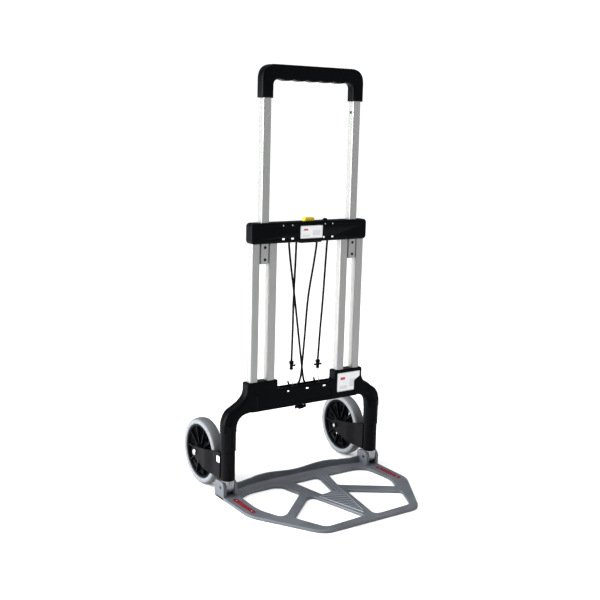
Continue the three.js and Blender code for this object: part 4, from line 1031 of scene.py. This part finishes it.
CRADLE = [(0.2164, 0.017), (0.186, 0.021), (0.150, 0.028), (0.118, 0.033), (0.060, 0.034), (0, 0.034)]
BRACE = [((0.052, -0.016), (0.072, -0.018)), ((0.029, -0.118), (0.050, -0.092)),
         ((-0.036, -0.133), (0.046, -0.134)), ((0.002, -0.272), (0.012, -0.262))]
STRIP_X = 0.233


def cradle_y(x):
    """Front face of the low wall, which bows back in its middle."""
    x = abs(x)
    points = CRADLE[::-1]
    for (x0, y0), (x1, y1) in zip(points, points[1:]):
        if x <= x1:
            t = (x - x0) / (x1 - x0)
            t = t * t * (3 - 2 * t) if x0 >= 0.118 else t
            return y0 + (y1 - y0) * t
    return CRADLE[0][1]


def cradle_top(x):
    """Top edge of the low wall: one slow wave, rising towards the hinges."""
    return 0.0248 - 0.003 * math.cos(x / 0.092 * math.pi) + 0.006 * (abs(x) / 0.2264) ** 4


def make_cradle():
    """The wall at the plate's rear edge: a fillet and a groove at its foot, a rounded top edge."""
    reach = 0.2160
    stations = 120
    rings = []
    for i in range(stations + 1):
        x = -reach + 2 * reach * i / stations
        y, top = cradle_y(x), cradle_top(x)
        foot = [(-0.022, 0.0004), (-0.022, 0.0081), (-0.0140, 0.0084), (-0.0115, 0.0098), (-0.0085, 0.0102),
                (-0.0060, 0.0094), (-0.0050, 0.0078), (-0.0036, 0.0076), (-0.0014, 0.0088), (-0.0002, 0.0125)]
        edge = [(0.0006, -0.0022), (0.0012, -0.0008), (0.0024, 0), (0.0040, 0), (0.0054, -0.0008),
                (0.0060, -0.0022)]
        rear = [(0.0060, 0.0012), (0.0052, 0.0004)]
        section = foot + [(back, top + down) for back, down in edge] + rear
        rings.append([(x, y + back, z) for back, z in section])
    return lofted("cradle", rings)


def make_brace_ribs():
    """Raised edges and slanting anti-slip ribs on the brace that zigzags across the plate."""
    pieces = []
    for edge in (0, 1):
        line = [Vector((*pair[edge], PLATE_TOP + 0.0004)) for pair in BRACE]
        inward = -1 if edge else 1
        line = [point + Vector((inward * 0.0022, 0, 0)) for point in line]
        pieces.append(sweep_flat("edge", line, 0.0013, 0.0009))
    ribs = 17
    for i in range(1, ribs):
        t = i / ribs
        left, right = brace_point(0, t), brace_point(1, min(1, t + 0.04))
        if (right - left).length < 0.010:
            continue
        step = (right - left).normalized() * 0.004
        line = [Vector((*(left + step), PLATE_TOP + 0.0003)), Vector((*(right - step), PLATE_TOP + 0.0003))]
        pieces.append(sweep_flat("rib", line, 0.0014, 0.0008))
    return pieces


def brace_point(edge, t):
    """Point at share t of the way along one edge of the brace."""
    line = [Vector(pair[edge]) for pair in BRACE]
    lengths = [(b - a).length for a, b in zip(line, line[1:])]
    left = t * sum(lengths)
    for a, b, length in zip(line, line[1:], lengths):
        if left <= length:
            return a + (b - a) * left / length
        left -= length
    return line[-1]


def sweep_flat(name, line, half_width, height):
    """A low rounded bead along a line on the plate."""
    bead = [(-1, -1), (-0.85, 0.25), (-0.45, 0.85), (0, 1), (0.45, 0.85), (0.85, 0.25), (1, -1)]
    rings = []
    last = len(line) - 1
    for i, point in enumerate(line):
        ahead = (line[min(i + 1, last)] - line[max(i - 1, 0)]).normalized()
        across = Vector((ahead.y, -ahead.x, 0))
        rings.append([point + across * half_width * u + Vector((0, 0, height * v)) for u, v in bead])
    return lofted(name, rings)


def make_toe_plate():
    side, front, rear = PLATE_HIGH.x, PLATE_LOW.y, 0.024
    shoulder, front_x = -0.144, 0.148
    half = [(front_x, front, 0.028), (side, shoulder, 0.026), (side, rear, 0.004)]
    outline = corners(mirrored(half), 0, 14)
    holes = [corners(opening, 0, 9) for opening in OPENINGS]
    plate = slab("plate", [outline] + holes, "z", 0, PLATE_TOP, 0.0022, 3)
    tools = []
    half_slot = 0.0116
    for sign in SIGNS:
        tools.append(rod("slot", "x", (sign * POST_X, 0, PIN_Z), 0.021, 2 * half_slot, 64))
        x = sign * STRIP_X
        recess = rectangle(x - 0.0073, x + 0.0073, -0.1383, -0.0357, 0.0073)
        tools.append(slab("recess", [recess], "z", PLATE_TOP - 0.003, PLATE_TOP + 0.004))
    plate = cut(joined("plate", [plate, make_cradle()]), tools)

    radius = PLATE_HIGH.z - PIN_Z
    shape = [Vector((-radius, 0.0006))] + arc(0, PIN_Z, radius, math.pi, math.pi / 2, 12)
    shape += corners([(0.001, PIN_Z + radius, 0), (0.030, PIN_Z + radius - 0.001, 0.013),
                      (0.030, 0.0006, 0.001), (-0.001, 0.0006, 0)])
    pin_hole = arc(0, PIN_Z, 0.0043, 0, 2 * math.pi, 32)[:-1]
    cheeks = []
    for sign in SIGNS:
        for near, far in ((-half_slot - 0.009, -half_slot), (half_slot, half_slot + 0.010)):
            low, high = sorted((sign * (POST_X + near), sign * (POST_X + far)))
            cheeks.append(slab("cheek", [shape, pin_hole], "x", low, high, 0.0016, 3))
    made = joined("toe_plate_casting", [plate] + cheeks + make_brace_ribs())
    finish(made, CASTING, "toe_plate", ["toe_plate"], angle=40)


def make_strip(name, sign):
    """A red inlay with three fine beads, held by two cross-slotted screws."""
    low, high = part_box(f"red_strip_{name}")
    x = sign * STRIP_X
    strip = rectangle(x - 0.007, x + 0.007, low.y, high.y, 0.007, 12)
    strip = slab("strip", [strip], "z", low.z, high.z, 0.0009, 3)
    screws = {"front": -0.124, "rear": -0.050}
    strip = cut(strip, [rod("seat", "z", (x, y, high.z), 0.0035, 0.0016, 32) for y in screws.values()])
    beads = []
    for off in (-0.003, 0, 0.003):
        line = [Vector((x + off, low.y + 0.024, high.z)), Vector((x + off, high.y - 0.024, high.z))]
        beads.append(sweep_flat("bead", line, 0.0007, 0.0002))
    finish(joined(f"red_strip_{name}_moulded", [strip] + beads), RED, "toe_plate",
           [f"red_strip_{name}"], angle=40)
    for where, y in screws.items():
        dome = [(0, 0.0009), (0.0012, 0.0009), (0.0026, 0.0005), (0.0030, -0.0002), (0.0030, -0.0008),
                (0, -0.0008)]
        head = lathe("head", dome, "z", (x, y, high.z - 0.0006), 32)
        cross = [block("slot", (-a, -b, 0), (a, b, 0.003)) for a, b in ((0.0018, 0.0003), (0.0003, 0.0018))]
        head = cut(head, [placed(slot, (x, y, high.z - 0.0002), 0.4, "Z") for slot in cross])
        head.name = f"strip_screw_{name}_{where}_head"
        finish(head, STEEL, "toe_plate", [f"strip_screw_{name}_{where}"])


# ---- posts, pins and bolts ----------------------------------------------------------------------

def make_post(name, sign):
    """Hinge foot: a rounded tab between the cheeks, with the post above it inside the fork."""
    x = sign * POST_X
    half, radius, top = 0.011, 0.0155, 0.0468
    foot = POST_HIGH.z - 0.0473
    shape = arc(0, PIN_Z, radius, math.pi, 2 * math.pi, 24) + [Vector((radius, top)), Vector((-radius, top))]
    tab = slab("tab", [shape], "x", x - half, x + half, 0.0018, 3)
    tab = cut(tab, [block("groove", (x + left, -0.03, -0.01), (x + left + 0.0012, -0.0140, 0.06))
                    for left in (-0.0042, 0.0030)])
    post = rod("post", "z", (x, 0, POST_HIGH.z - foot / 2), 0.013, foot, 48, 0.0006)
    neck = rod("neck", "z", (x, 0, 0.047), 0.010, 0.008, 48)
    finish(joined(f"post_{name}_casting", [tab, post, neck]), FOOT, "frame", [f"post_{name}"])


def make_axle(name, sign):
    """Axle bolt with a domed head on the side away from the middle."""
    low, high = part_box(f"axle_bolt_{name}")
    shank = rod("shank", "x", (low + high) / 2, 0.005, high.x - low.x, 48, 0.0006)
    dome = [(0, -0.002), (0.0078, -0.002), (0.0080, -0.0016), (0.0078, 0.0006), (0.0064, 0.0018),
            (0.0030, 0.0026), (0, 0.0027)]
    head = lathe("head", dome, "x", (0, 0, 0), 48)
    head = placed(head, (sign * (POST_X + 0.0304), AXLE_Y, AXLE_Z), math.pi if sign < 0 else 0, "Z")
    bolt = joined(f"axle_bolt_{name}_turned", [shank, head])
    finish(bolt, STEEL, f"fork_{name}", [f"axle_bolt_{name}"])


make_grip()
make_profiles()
make_crossbar()
make_button()
make_bracket()
make_toe_plate()
make_fork_label()
for side_name, side_sign in SIDES:
    make_fork(side_name, side_sign)
    make_wheel(side_name, side_sign)
    make_strip(side_name, side_sign)
    make_post(side_name, side_sign)
    make_axle(side_name, side_sign)


# ---- stage --------------------------------------------------------------------------------------

def make_stage():
    bpy.context.scene.view_settings.view_transform = "Standard"
    size = 60
    floor = from_faces("floor", [(-size, -size, 0), (size, -size, 0), (size, size, 0), (-size, size, 0)],
                       [(0, 1, 2, 3)])
    skin = Skin("floor_paint")
    skin.colour(skin.ramp(skin.noise(2), 0.9, 0.93))
    skin.constant("Roughness", 0.9)
    floor.data.materials.append(skin.made)

    world = bpy.data.worlds.new("studio")
    bpy.context.scene.world = world
    world.use_nodes = True
    nodes, links = world.node_tree.nodes, world.node_tree.links
    backdrop = nodes["Background"]
    backdrop.inputs["Color"].default_value = (1, 1, 1, 1)
    backdrop.inputs["Strength"].default_value = 1.1
    room = nodes.new("ShaderNodeBackground")
    room.inputs["Color"].default_value = (0.97, 0.985, 1, 1)
    room.inputs["Strength"].default_value = 0.30
    seen = nodes.new("ShaderNodeLightPath")
    choice = nodes.new("ShaderNodeMixShader")
    links.new(seen.outputs["Is Camera Ray"], choice.inputs[0])
    links.new(room.outputs[0], choice.inputs[1])
    links.new(backdrop.outputs[0], choice.inputs[2])
    links.new(choice.outputs[0], nodes["World Output"].inputs["Surface"])

    sky = bpy.data.lights.new("overhead", "SUN")
    sky.energy = 2.9
    sky.angle = 1.2
    bpy.context.collection.objects.link(bpy.data.objects.new("overhead", sky))
    for name, place_at, power, width in (
        ("side", (-3.4, 1.2, 1.3), 400, 2.4),
        ("fill", (2.2, -3.0, 1.8), 14, 2.0),
    ):
        lamp = bpy.data.lights.new(name, "AREA")
        lamp.energy = power
        lamp.size = width
        made = bpy.data.objects.new(name, lamp)
        made.location = place_at
        aim = Vector((0, -0.05, 0.5)) - Vector(place_at)
        made.rotation_euler = aim.to_track_quat("-Z", "Y").to_euler()
        bpy.context.collection.objects.link(made)


make_stage()

# ---- everything else from the frame -------------------------------------------------------------

SKINS = {
    "black_plastic": BLACK, "aluminium_profile": ALUMINIUM, "toe_casting": CASTING, "foot_casting": FOOT,
    "steel": STEEL, "grey_tyre": RUBBER, "red_plastic": RED, "yellow_plastic": YELLOW, "pad_rubber": PAD,
    "cord": CORD,
}
LABELS = ("crossbar_label", "tower_label")


def keep_the_rest():
    """Skins for every CAD node that no piece above stands in for."""
    for part in frame["record"]["subparts"]:
        node = part["node"]
        if frame["nodes"][node].hide_render:
            continue
        if node in LABELS:
            keep(node, printed(node, *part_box(node), 0.002), 0)
        else:
            # The hinge pins get the near-black as painted shade of the recess they sit in; the axle parts are
            # blackened steel.
            dark = node.startswith(("axle_", "hinge_pin_"))
            keep(node, DARK_STEEL_AND_PIN_SHADE if dark else SKINS[part["material_slot"]])


keep_the_rest()
